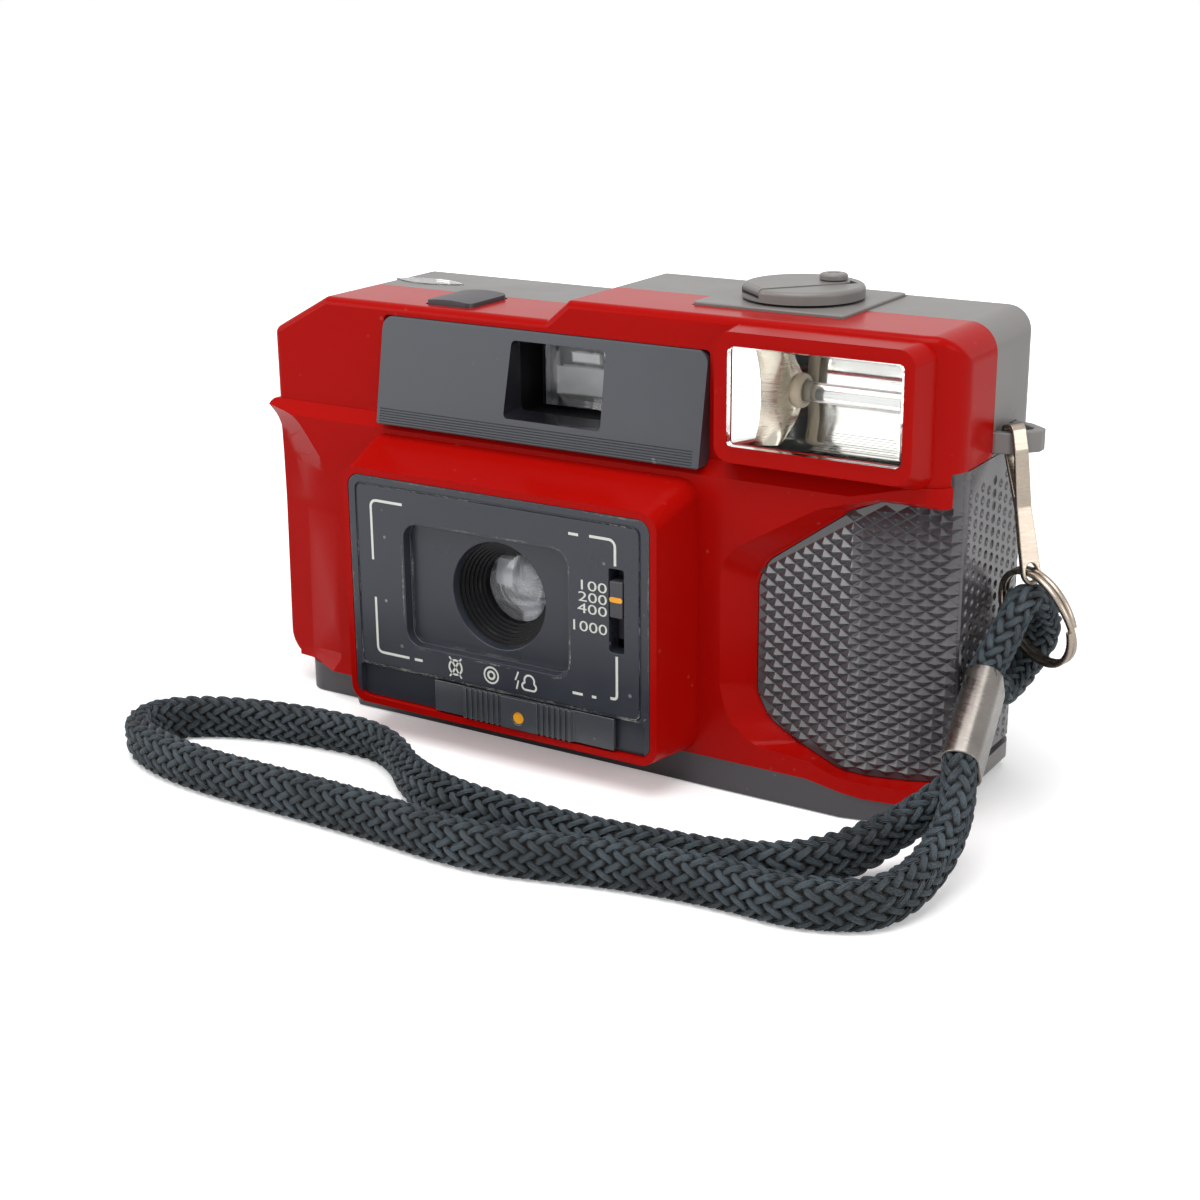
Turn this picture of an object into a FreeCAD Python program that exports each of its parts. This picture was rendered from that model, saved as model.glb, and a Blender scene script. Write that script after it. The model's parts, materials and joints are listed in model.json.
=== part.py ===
import FreeCAD, Part
import math
import os

V = FreeCAD.Vector

# Frame: millimetres, +X to the right seen from the front, the lens looks along -Y, +Z up.
# The origin is the mouth of the tripod socket in the base. y = 0 is the seam plane
# between the red front cover and the grey rear cover.

# Case
right_x = 64.0
left_x = -61.0
bulge_x = -63.2            # left side at the base
ledge_left_x = -62.0
top_low_z = 71.6           # top on the shutter side
top_high_z = 75.0          # top on the flash side
step_low_x = -5.0
step_high_x = -1.0
chamfer_x = -49.4
chamfer_z = 65.3
ledge_z = 53.2
base_z = 5.1               # top of the black base tray
floor_z = 6.1              # top of the cover's floor
lip_z = 3.4                # underside of the red lip below the grip
lip_start_x = 43.0
lip_end_x = 52.4
upper_face_y = -15.0
lower_face_y = -17.0
back_y = 18.0
wall = 1.8
corner_r = 4.5
edge_r = 1.4
shoulder_r = 6.0           # upright corner beside the flash
ledge_corner_x = 63.0      # corner of the ledge over the grip
ledge_corner_y = -14.4
ledge_corner_r = 4.5
rear_r = 5.4               # upright corner at the rear right
rear_edge_r = 2.4
scoop_y = -13.0            # floor of the left thumb rest
part_gap = 0.15            # between pieces fixed side by side
move_gap = 0.3             # round pieces that move
seat_gap = 0.1             # between a piece and the seat that holds it

# Lens block
block_y = -27.0
block_left_x = -37.6
block_right_x = 22.3
block_low_z = 5.8
block_top_z = 46.9
block_draft = 1.6
block_slope = 3.6
block_r = 3.0
lens_x = -8.0
lens_z = 28.5
plate_rim = 1.25
plate_thick = 3.0
plate_r = 2.2
bore_r = 8.75
barrel_r = 10.5
lens_r = 5.9
stop_r = 3.4

# Speed and aperture sliders
speed_x = 15.15
speed_slot_w = 2.7
speed_slot_low_z = 23.6
speed_slot_high_z = 37.2
speed_knob_h = 5.9
speed_knob_z = 32.3
lever_low_x = -20.0
lever_high_x = 14.6
lever_low_z = 7.3
lever_high_z = 12.6
lever_travel = 12.8
lever_stem_x = -3.2
small_stop_offset = 6.5

# Finder
bezel_left_x = -36.7
bezel_right_x = 24.5
bezel_low_z = 52.0
bezel_top_z = 69.7
bezel_low_y = -18.4
bezel_top_y = -15.3
bezel_back_y = -13.9
finder_left_x = -11.8
finder_right_x = 6.8
finder_low_z = 55.6
finder_top_z = 68.3
finder_wall = 1.2
eyepiece_w = 12.0
eyepiece_h = 8.6

# Flash
pod_left_x = 28.0
pod_right_x = 59.7
pod_low_z = 54.4
pod_top_z = 74.0
pod_y = -20.0
pod_draft = 1.0
pod_r = 2.6
flash_left_x = 30.4
flash_right_x = 58.1
flash_low_z = 57.0
flash_top_z = 71.9
window_thick = 1.3
reflector_thick = 0.5
tube_r = 1.5
tube_y = -11.0
tube_rear_x = 59.4

# Grip
grip_y = -14.0
grip_flat_x = 49.0
grip_bend_x = 57.6
grip_bend_y = -11.9
grip_side_y = -9.4
grip_step_y = -12.4        # behind it the side of the grip reaches higher
grip_rear_y = 16.0
grip_thick = 2.0
grip_low_z = 6.2
grip_front_top_z = 49.9
grip_top_z = 54.9

# Film transport
film_y = 12.9
gate_w = 36.0
gate_h = 24.0
cartridge_x = 31.0
cartridge_y = 3.0
cartridge_room_r = 13.0
chamber_wall = 1.0
chassis_low_z = 6.3
deck_z = 52.6
deck_thick = 1.3
sprocket_x = -33.5
sprocket_y = 7.0
sprocket_r = 5.8
sprocket_tooth_r = 7.1
sprocket_teeth = 8
perforation_half = 14.1
spool_y = 4.6
spool_core_r = 5.0
spool_flange_r = 8.3
spool_room_r = 10.4
shaft_r = 1.5
run_gap = 0.05             # radial play of a shaft in its bore
gear_module = 0.5
spool_gear_teeth = 34
sprocket_gear_teeth = 24
gear_low_z = 54.4
gear_thick = 1.8
wheel_r = 11.0
wheel_low_z = 57.0
wheel_thick = 5.2
dial_x = -39.2
dial_y = 5.0
dial_r = 7.2
dial_low_z = 66.2
dial_pin_r = 1.2
ratchet_r = 5.0
ratchet_teeth = 24
finger_r = 0.75

# Back door and battery door
door_inner_y = 15.2
door_right_x = 45.1
door_low_z = 4.6
door_top_z = 53.6
hinge_x = -59.6
hinge_pin_r = 0.6
plate_w = 44.0
plate_h = 30.0
battery_left_x = 45.8
battery_door_top = 5.0
battery_hinge_x = 47.2
battery_hinge_z = 1.4
battery_pin_r = 0.6
cell_r = 5.25
cell_length = 44.5
cell_x = 53.5
cell_pitch = 10.7
latch_room = 1.85            # behind the cells, for the hook of the door latch
cell_front_y = back_y - wall - latch_room - cell_r - cell_pitch
battery_front_room = 0.75    # from the front cell to the edge of the battery door
battery_front_y = cell_front_y - cell_r - battery_front_room
cell_low_z = 7.4

# Door latch
latch_neck_left_x = 50.0
latch_neck_right_x = 53.0
latch_neck_low_z = 29.0
latch_neck_high_z = 33.0
latch_hook_x = 47.0
latch_proud = 1.6
latch_travel = 4.0

# Shutter
button_x = -26.0
button_y = -6.5
button_w = 9.0
button_d = 11.0
button_rise = 1.0
stem_r = 1.5
spring_r = 2.6
spring_wire_r = 0.3
spring_turns = 5
blade_pivot_x = 3.2
blade_pivot_z = 37.5
blade_y = -11.3
blade_thick = 0.3
cover_disc_r = 5.2

# Rewind
rewind_left_x = 17.5
rewind_right_x = 43.0
rewind_front_y = -8.0
rewind_back_y = 15.0
rewind_plate_z = 75.5
knob_r = 9.5
knob_low_z = 75.9
knob_thick = 1.9
well_r = 10.2
rewind_shaft_r = 2.0
crank_turn = 50.0          # way the folded crank points, from +X
crank_pivot_back = 8.2
crank_length = 15.4
crank_thick = 1.0
crank_proud = 0.15         # lever above the disc
crank_width = 6.4
crank_knob_r = 2.2
crank_knob_h = 1.0
crank_knob_along = 5.0     # from the middle of the disc
crank_stub_r = 0.8
crank_pin_r = 0.35
crank_pin_half = 4.2
crank_barrel_r = 0.7

# Strap hardware and strap
lug_low_z = 55.6
lug_high_z = 58.8
clip_width = 2.8
clip_metal = 0.55
clip_foot_width = 4.0
clip_top = V(66.06, 2.27, 60.0)
clip_foot = V(71.38, -0.27, 36.52)
clip_hole_r = 1.35
clip_hole_up = 1.95
ring_centre = V(71.9, 1.6, 31.0)
ring_axis = V(0.48, 0.84, 0.25)
ring_inner_r = 7.2
ring_wire = 0.9
ring_width = 1.8
ferrule_top = V(68.1, -8.5, 22.9)
ferrule_foot = V(70.15, -22.0, 14.4)
ferrule_wide = 9.0
ferrule_thin = 5.6
ferrule_metal = 0.5
cord_d = 3.8               # thickness of the flat braid
cord_split = 1.95          # each strand from the middle of the ferrule
cord_z = 3.5               # the braid stands on its edge, half its width up

# Socket in the base: 1/4-20 UNC
socket_r = 2.6
socket_length = 6.4
socket_outer_r = 5.0

# Depths in the lens block
plate_back_y = block_y + plate_thick
barrel_back_y = -13.0
aperture_y = -12.7
aperture_thick = 0.4
shutter_plate_y = -12.0
shutter_plate_thick = 0.4
mount_wall_y = -10.4
mount_wall_thick = 1.0

gear_distance = gear_module * (spool_gear_teeth + sprocket_gear_teeth) / 2
spool_x = sprocket_x - math.sqrt(gear_distance ** 2 - (sprocket_y - spool_y) ** 2)
hinge_y = (door_inner_y + back_y) / 2
hinge_r = (back_y - door_inner_y) / 2
reach = 200.0              # longer than the camera, for cutting blocks


def box(x0, x1, y0, y1, z0, z1):
    return Part.makeBox(x1 - x0, y1 - y0, z1 - z0, V(x0, y0, z0))


def rod(start, axis, r, length):
    return Part.makeCylinder(r, length, start, axis)


def rod_z(x, y, r, z0, z1):
    return rod(V(x, y, z0), V(0, 0, 1), r, z1 - z0)


def rod_y(x, z, r, y0, y1):
    return rod(V(x, y0, z), V(0, 1, 0), r, y1 - y0)


def rod_x(y, z, r, x0, x1):
    return rod(V(x0, y, z), V(1, 0, 0), r, x1 - x0)


def rounded_wire(points, radii, place):
    """Closed outline through 2D points, each corner rounded by a tangent arc of its radius."""
    edges, count = [], len(points)
    ends = []
    for i in range(count):
        here = V(points[i][0], points[i][1], 0)
        before = V(*points[i - 1], 0) - here
        after = V(*points[(i + 1) % count], 0) - here
        before.normalize()
        after.normalize()
        r = radii[i] if isinstance(radii, (list, tuple)) else radii
        half = before.getAngle(after) / 2
        if r <= 0 or abs(half - math.pi / 2) < 1e-6:
            ends.append((here, None, here))
            continue
        run = r / math.tan(half)
        middle = before + after
        middle.normalize()
        arc_mid = here + middle * (r / math.sin(half) - r)
        ends.append((here + before * run, arc_mid, here + after * run))
    for i in range(count):
        start, mid, stop = ends[i]
        if mid is not None:
            edges.append(Part.Arc(place(start), place(mid), place(stop)).toShape())
        following = ends[(i + 1) % count][0]
        if stop.distanceToPoint(following) > 1e-6:
            edges.append(Part.makeLine(place(stop), place(following)))
    return Part.Wire(edges)


def wire_y(points, radii, y):
    return rounded_wire(points, radii, lambda p: V(p.x, y, p.y))


def prism_y(points, radii, y0, y1):
    return Part.Face(wire_y(points, radii, y0)).extrude(V(0, y1 - y0, 0))


def prism_z(points, radii, z0, z1):
    wire = rounded_wire(points, radii, lambda p: V(p.x, p.y, z0))
    return Part.Face(wire).extrude(V(0, 0, z1 - z0))


def prism_x(points, radii, x0, x1):
    wire = rounded_wire(points, radii, lambda p: V(x0, p.x, p.y))
    return Part.Face(wire).extrude(V(x1 - x0, 0, 0))


def rect(x0, x1, z0, z1):
    return [(x0, z0), (x1, z0), (x1, z1), (x0, z1)]


def taper_y(points0, y0, points1, y1, radii):
    """Solid between two like outlines at two depths."""
    return Part.makeLoft([wire_y(points0, radii, y0), wire_y(points1, radii, y1)], True, True)


def join(shapes):
    shape = shapes[0].multiFuse(shapes[1:]) if len(shapes) > 1 else shapes[0]
    return shape.removeSplitter()


def round_edges(shape, r, pick):
    edges = [e for e in shape.Edges if pick(e)]
    return shape.makeFillet(r, edges)


def on_plane(edge, axis, value):
    return all(abs(getattr(v.Point, axis) - value) < 1e-4 for v in edge.Vertexes)


def case_outline(inset, low_z):
    """Front view of the case above a height, drawn in by a wall."""
    return [
        (left_x + inset, low_z),
        (right_x - inset, low_z),
        (right_x - inset, top_high_z - inset),
        (step_high_x + inset / 2, top_high_z - inset),
        (step_low_x + inset / 2, top_low_z - inset),
        (chamfer_x + inset / 4, top_low_z - inset),
        (left_x + inset, chamfer_z - inset / 2),
    ]


def case_radii(inset):
    return [0, 0, corner_r - inset, 0.6, 0.6, 1.5, 1.5]


def lens_block(inset, front_y, back_y_here):
    """Tapered block that carries the lens plate; its top slopes up to the case."""
    front = rect(block_left_x + inset, block_right_x - inset, block_low_z + inset, block_top_z - inset)
    rear = rect(
        block_left_x - block_draft + inset,
        block_right_x + block_draft - inset,
        block_low_z - 0.4 + inset,
        block_top_z + block_slope - inset,
    )
    return taper_y(front, front_y, rear, back_y_here, block_r)


def flash_pod(inset, front_y, back_y_here):
    front = rect(pod_left_x + inset, pod_right_x - inset, pod_low_z + inset, pod_top_z - inset)
    rear = rect(
        pod_left_x - pod_draft + inset,
        pod_right_x + pod_draft - inset,
        pod_low_z - 2 * pod_draft + inset,
        top_high_z - edge_r / 2 - inset,
    )
    return taper_y(front, front_y, rear, back_y_here, pod_r)


def rear_block(inset, z0, z1):
    """Block that rounds the upright corner at the rear right, drawn in by a wall."""
    side, back = right_x - inset, back_y - inset
    return prism_z([(-reach, -reach), (side, -reach), (side, back), (-reach, back)],
                   [0, 0, rear_r - inset, 0], z0, z1)


def shoulder_plan(inset, rear_y):
    """Plan of the case with its upright corner rounded beside the flash."""
    points = [
        (bulge_x - 1, upper_face_y + inset),
        (right_x - inset, upper_face_y + inset),
        (right_x - inset, rear_y),
        (bulge_x - 1, rear_y),
    ]
    return points, [0, shoulder_r - inset, 0, 0]


def thumb_scoop():
    """Material in front of the left thumb rest: a curved bevel and a slanted flat."""
    outer = [(-80, 56.5), (-62.0, 53.8), (-54.3, 51.0), (-48.0, 42.95), (-46.1, 35.2), (-46.3, 8.2),
             (-49.5, 4.6),
             (-80, 4.0)]
    inner = [(-84, 51.0), (-66.0, 50.2), (-62.0, 48.6), (-59.3, 42.6), (-57.1, 34.3), (-57.7, 7.0),
             (-58.4, 2.0),
             (-84, 1.5)]
    radii = [0, 4, 8, 8, 9, 3, 2, 0]
    bevel = taper_y(outer, lower_face_y - 0.6, inner, scoop_y, radii)
    shifted = [(x - 8.0, z) for x, z in inner]
    flat = taper_y(inner, scoop_y, shifted, scoop_y + 0.8, radii)
    return join([bevel, flat])


def lip_line():
    """Lower edge of the red cover where it dips below the grip."""
    return [(lip_start_x, base_z), (lip_end_x, lip_z + 0.1), (right_x, lip_z)]


def grip_rim():
    """Outer line of the dished edge round the grip, on the front face."""
    return [(27.8, 17.5), (29.2, 12.4), (33.6, 8.8), (46.0, 7.9), (52.0, 7.0), (reach, 7.4), (reach, 52.2),
            (60.0, 51.9), (53.6, 51.3), (43.8, 48.3), (30.6, 40.6), (27.8, 37.6)]


def grip_outline(grow, top_z):
    """Front view of the grip hole, grown outward by a gap, from its left tip to past the side."""
    g = grow
    return [(33.0 - g, 16.5), (35.2 - 0.8 * g, 12.6 - 0.6 * g), (40.5 - 0.5 * g, 9.6 - 0.9 * g),
            (47.1, 6.8 - g),
            (52.0, grip_low_z - g), (reach, grip_low_z - g), (reach, top_z + g), (60.0, top_z + g),
            (52.6, grip_front_top_z - 0.1 + g), (48.4 - 0.5 * g, 48.1 + 0.9 * g),
            (34.6 - 0.8 * g, 38.2 + 0.6 * g),
            (33.0 - g, 34.8)]


def grip_plan(inset):
    """Plan of the outside of the grip: flat front, two facets, flat side."""
    return [
        (20.0, grip_y + inset),
        (grip_flat_x - inset * 0.1, grip_y + inset),
        (grip_bend_x - inset * 0.45, grip_bend_y + inset * 0.9),
        (right_x - inset, grip_side_y + inset * 0.45),
        (right_x - inset, grip_rear_y),
    ]


def front_cover():
    body = prism_y(case_outline(0, base_z), case_radii(0), upper_face_y, 0)
    plan, plan_radii = shoulder_plan(0, 0)
    body = body.common(prism_z(plan, plan_radii, 0, reach))
    body = round_edges(body, edge_r, lambda e: on_plane(e, "y", upper_face_y) and e.BoundBox.ZMin > base_z + 1)
    lower = prism_y(
        [(bulge_x + 0.2, base_z)] + lip_line() + [(right_x, ledge_z), (ledge_left_x, ledge_z)],
        [corner_r, 6, 6, 0, 0, 1.2], lower_face_y, 0)
    slope = [(lower_face_y - 1, ledge_z + 1), (lower_face_y - 1, ledge_z - 2.2), (lower_face_y, ledge_z - 2.2),
             (upper_face_y, ledge_z + 0.2), (upper_face_y, ledge_z + 1)]
    lower = lower.cut(prism_x(slope, 0, bulge_x - 1, reach))
    plan = [(bulge_x - 1, lower_face_y - 1), (grip_flat_x, lower_face_y - 1), (grip_flat_x, lower_face_y),
            (ledge_corner_x, ledge_corner_y), (right_x, upper_face_y + shoulder_r), (right_x, 0),
            (bulge_x - 1, 0)]
    body = join([body, lower.common(prism_z(plan, [0, 0, 0, ledge_corner_r, 0, 0, 0], 0, reach))])
    body = join([body, lens_block(0, block_y, lower_face_y + 1), flash_pod(0, pod_y, upper_face_y + 1)])
    body = body.cut(thumb_scoop())
    body = body.cut(grip_dish())
    body = body.cut(front_cavity())
    return body.cut(front_openings())


def grip_radii():
    return [6, 5, 5, 6, 0, 0, 0, 0, 3, 6, 5, 5]


def grip_dish():
    """Dished edge round the grip, and the hole that the grip fills."""
    dish = taper_y(grip_rim(), lower_face_y - 0.01, grip_outline(0, grip_front_top_z), grip_y + 0.4,
                   grip_radii())
    dish = dish.common(box(0, reach, -30, grip_y, 0, 52.1))
    hole = prism_y(grip_outline(part_gap, grip_top_z), grip_radii(), -30, 1)
    return join([dish, hole.common(grip_room(part_gap))])


def grip_room(gap):
    """Space that the grip takes: below the ledge in front, higher at the side."""
    front = box(0, reach, -30, 30, 0, grip_front_top_z + gap)
    return join([front, box(40, reach, grip_step_y - gap, 30, 0, grip_top_z + gap)])


def front_cavity():
    upper = prism_y(case_outline(wall, ledge_z - wall), case_radii(wall), upper_face_y + wall, 1)
    plan, plan_radii = shoulder_plan(wall, 1)
    upper = upper.common(prism_z(plan, plan_radii, 0, reach))
    middle = box(bulge_x + wall, right_x - wall, scoop_y + wall, 1, floor_z, ledge_z - 1.0)
    lower = box(-45.5, 27.0 - wall, lower_face_y + wall, 1, floor_z, ledge_z - 3)
    block = lens_block(wall, block_y + plate_thick + wall, lower_face_y + 2)
    pod = flash_pod(1.0, pod_y + wall, upper_face_y + 3)
    hatch = box(chamber_left_x() - part_gap, door_right_x, chamber_front_y(), 1, base_z - 1, floor_z + 1)
    return join([upper, middle, lower, block, pod, hatch])


def front_openings():
    rim = plate_rim
    lever_room = box(block_left_x + plate_rim + 3, block_right_x - plate_rim - 3, block_y - 1, block_y + 0.9,
                     lever_low_z - move_gap - 0.1, lever_high_z)
    plate_seat = prism_y(
        rect(block_left_x + rim - seat_gap, block_right_x - rim + seat_gap,
             block_low_z + rim - seat_gap, block_top_z - rim + seat_gap),
        plate_r + seat_gap, block_y - 1, plate_back_y)
    plate_hole = prism_y(
        rect(block_left_x + rim + 1.2, block_right_x - rim - 1.2, block_low_z + rim + 1.2,
             block_top_z - rim - 1.2), plate_r, block_y, block_y + plate_thick + wall + 1)
    bezel_seat = prism_y(
        rect(bezel_left_x - seat_gap, bezel_right_x + seat_gap, bezel_low_z - seat_gap,
             bezel_top_z + seat_gap), 0.8, block_y, bezel_back_y)
    finder = box(finder_left_x - finder_wall, finder_right_x + finder_wall, block_y, 0,
                 finder_low_z - finder_wall, finder_top_z + finder_wall)
    flash = prism_y(rect(flash_left_x, flash_right_x, flash_low_z, flash_top_z), 0.8, pod_y - 1,
                    upper_face_y + 3)
    button = prism_z(
        [(button_x - button_w / 2 - move_gap, button_y - button_d / 2 - move_gap),
         (button_x + button_w / 2 + move_gap, button_y - button_d / 2 - move_gap),
         (button_x + button_w / 2 + move_gap, button_y + button_d / 2 + move_gap),
         (button_x - button_w / 2 - move_gap, button_y + button_d / 2 + move_gap)],
        1.4, top_low_z - wall - 1, reach)
    rewind = box(rewind_left_x - seat_gap, rewind_right_x + seat_gap, rewind_front_y - seat_gap, 1,
                 top_high_z - 0.7, reach)
    bushing = rod_z(cartridge_x, cartridge_y, well_r - 2, top_high_z - wall - 1, reach)
    battery = box(battery_left_x - move_gap, 60.4, battery_front_y - 1.1, 1, 0, floor_z + 0.2)
    socket = rod_z(0, 0, socket_outer_r + seat_gap, 0, socket_length + 1)
    return join([lever_room, plate_seat, plate_hole, bezel_seat, finder, flash, button, rewind, bushing,
                 battery, socket])


def rear_cover():
    """Grey top, right side and upper back; open below on the left for the back door."""
    upper = prism_y(case_outline(0, door_top_z + move_gap), case_radii(0), 0, back_y)
    upper = upper.common(rear_block(0, 0, reach))
    upper = round_edges(upper, rear_edge_r, lambda e: on_plane(e, "y",
                                                               back_y) and e.BoundBox.ZMin > ledge_z + 2)
    cavity = prism_y(case_outline(wall, ledge_z - 1), case_radii(wall), -1, back_y - wall)
    cavity = cavity.common(rear_block(wall, 0, reach))
    upper = upper.cut(cavity.common(box(-reach, reach, -1, back_y, door_top_z + move_gap - 2, reach)))
    side_x = right_x - grip_thick - seat_gap
    low = battery_door_top + move_gap
    column = box(door_right_x + move_gap, side_x, 0, back_y, low, ledge_z + 3)
    column = column.cut(box(door_right_x + move_gap + 1.0, side_x - 1.2, -1, back_y - wall, 0, reach))
    post = box(side_x - 0.5, right_x, grip_rear_y + part_gap, back_y, low, ledge_z + 3)
    column = join([column, post]).common(rear_block(0, 0, reach))
    left = prism_y([(bulge_x, base_z + 0.1), (left_x - 0.4, base_z + 0.1), (left_x - 0.4, ledge_z),
                    (ledge_left_x, ledge_z)], 0, 0, door_inner_y - move_gap)
    left_cap = join([box(ledge_left_x, left_x + wall, 0, door_inner_y - move_gap, ledge_z - 1.2, ledge_z),
                     box(left_x, left_x + wall, 0, door_inner_y - move_gap, ledge_z - 1.2, ledge_z + 3)])
    band = box(side_x, right_x, 0, grip_rear_y + part_gap, grip_top_z + part_gap, ledge_z + 3)
    eyelid = box(finder_left_x - 3, finder_right_x + 3, back_y - wall - 0.5, back_y, finder_low_z - 1,
                 finder_top_z)
    scoop_body = box(spool_x - wheel_r - 0.3, spool_x + wheel_r + 1.5, 11.4, back_y - 0.5, wheel_low_z - 2.4,
                     wheel_low_z + wheel_thick + 3.5)
    dial_pin = rod_z(dial_x, dial_y, dial_pin_r, dial_low_z - 0.6, top_low_z - 0.5)
    body = join([upper, column, left, left_cap, band, eyelid, scoop_body, dial_pin])
    return body.cut(rear_openings())


def rear_openings():
    eyepiece = box(-eyepiece_w / 2 + finder_mid_x(), eyepiece_w / 2 + finder_mid_x(), 0, reach,
                   finder_mid_z() - eyepiece_h / 2, finder_mid_z() + eyepiece_h / 2)
    scoop = prism_z(
        [(spool_x - wheel_r + 1, back_y + 1), (spool_x - wheel_r + 4, 13.2), (spool_x + wheel_r - 3, 13.2),
         (spool_x + wheel_r, back_y + 1)], [0, 2, 2, 0], wheel_low_z - 1.2, wheel_low_z + wheel_thick + 1.2)
    slot = rod_z(spool_x, spool_y, wheel_r + move_gap + 0.1, wheel_low_z - move_gap,
                 wheel_low_z + wheel_thick + move_gap)
    window = counter_lens(0, top_low_z - wall - 1, reach)
    rewind = box(rewind_left_x - seat_gap, rewind_right_x + seat_gap, -1, rewind_back_y + seat_gap,
                 top_high_z - 0.7, reach)
    bushing = rod_z(cartridge_x, cartridge_y, well_r - 2, top_high_z - wall - 1, reach)
    pin = rod_z(hinge_x, hinge_y, hinge_pin_r + run_gap, door_top_z, door_top_z + 3)
    lug = prism_z(lug_seat_plan(), 0, lug_low_z - part_gap, lug_high_z + part_gap)
    side = box(right_x - grip_thick - seat_gap, right_x + 1, -1, grip_rear_y + part_gap, 0,
               grip_top_z + part_gap)
    gears = join([rod_z(spool_x, spool_y, gear_tip(spool_gear_teeth) + move_gap, ledge_z, wheel_low_z),
                  rod_z(sprocket_x, sprocket_y, gear_tip(sprocket_gear_teeth) + move_gap, ledge_z,
                        wheel_low_z)])
    return join([eyepiece, scoop, slot, window, rewind, bushing, pin, lug, side, gears])


def finder_mid_x():
    return (finder_left_x + finder_right_x) / 2


def finder_mid_z():
    return (finder_low_z + finder_top_z) / 2


def counter_lens(inset, z0, z1):
    """Almond shape of the frame counter window."""
    bow = rod_z(-43.0, 15.6, 12.0 - inset, z0, z1)
    return bow.common(rod_z(-43.0, -3.2, 12.0 - inset, z0, z1))


def counter_window():
    return counter_lens(seat_gap, top_low_z - wall, top_low_z + 0.15)


def bottom_cover():
    """Black base tray with a floor, a rim and a lug for the door hinge."""
    plan = [(-58.3, -14.7), (-46.6, -14.7), (-44.4, lower_face_y), (grip_flat_x, lower_face_y), (61.6, -14.2),
            (62.4, -9.0), (62.4, 0.1), (60.3, 0.1), (60.3, battery_front_y - move_gap),
            (battery_left_x - move_gap, battery_front_y - move_gap), (battery_left_x - move_gap, 14.8),
            (-58.3, 14.8)]
    radii = [4, 1, 1, 0, 3.5, 0, 0, 0, 0, 0, 0, 3]
    tray = prism_z(plan, radii, 0, base_z)
    hollow = prism_z(
        [(-56.6, -13.8), (battery_left_x - 2.2, -13.8), (battery_left_x - 2.2, 13.2),
         (-56.6, 13.2)], 2, 1.6, base_z + 1)
    over = prism_y(
        [(bulge_x - 1, base_z)] + lip_line() + [(right_x, base_z + 2), (bulge_x - 1, base_z + 2)],
        [0, 6, 6, 0, 0, 0], -20, 0.05)
    tray = tray.cut(hollow).cut(over)
    lug = rod_z(hinge_x, hinge_y, hinge_r, 1.4, door_low_z - move_gap)
    arm = box(hinge_x - hinge_r, hinge_x + 3.0, 10.0, hinge_y, 1.4, door_low_z - move_gap)
    boss = rod_z(0, 0, socket_outer_r + 1.5, 1.0, base_z)
    tray = join([tray, lug, arm, boss])
    tray = tray.cut(rod_z(hinge_x, hinge_y, hinge_pin_r + run_gap, 1.0, base_z + 2))
    tray = tray.cut(rod_z(0, 0, socket_outer_r, -1, base_z + 1))
    tray = tray.cut(rod(V(battery_hinge_x, battery_front_y - 2.0, battery_hinge_z), V(0, 1, 0),
                        battery_pin_r, 20))
    for x, y in screw_places():
        tray = tray.cut(rod_z(x, y, 1.3, -1, 3)).cut(rod_z(x, y, 2.5, -1, 1.2))
    return tray


def screw_places():
    return [(-50.0, 0.0), (-20.0, 10.5), (40.0, -10.5)]


def case_screws():
    """Three pan-head screws in the base and one that holds the counter dial."""
    screws = []
    for x, y in screw_places():
        head = rod_z(x, y, 2.3, 0.15, 1.2)
        shank = rod_z(x, y, 1.1, 1.2, base_z - 0.3)
        cross = join([box(x - 1.4, x + 1.4, y - 0.25, y + 0.25, 0, 0.7),
                      box(x - 0.25, x + 0.25, y - 1.4, y + 1.4, 0, 0.7)])
        screws.append(join([head, shank]).cut(cross))
    screws.append(rod_z(dial_x, dial_y, 2.2, dial_low_z - 1.2, dial_low_z - 0.6))
    return Part.makeCompound(screws)


def tripod_socket():
    body = rod_z(0, 0, socket_outer_r, 0, socket_length)
    return body.cut(rod_z(0, 0, socket_r, -1, socket_length + 1))


def chamber_left_x():
    return cartridge_x - cartridge_room_r - chamber_wall


def chamber_front_y():
    return cartridge_y - cartridge_room_r - chamber_wall


def film_chassis():
    """Black inner frame without its cartridge end."""
    return inner_frame().cut(box(chamber_left_x(), reach, -30, 30, 0, 90))


def cartridge_chamber():
    """Right end of the inner frame: straight-walled tub that a film cartridge drops into from behind."""
    return inner_frame().common(box(chamber_left_x() + part_gap, reach, -30, 30, 0, 90))


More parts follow.
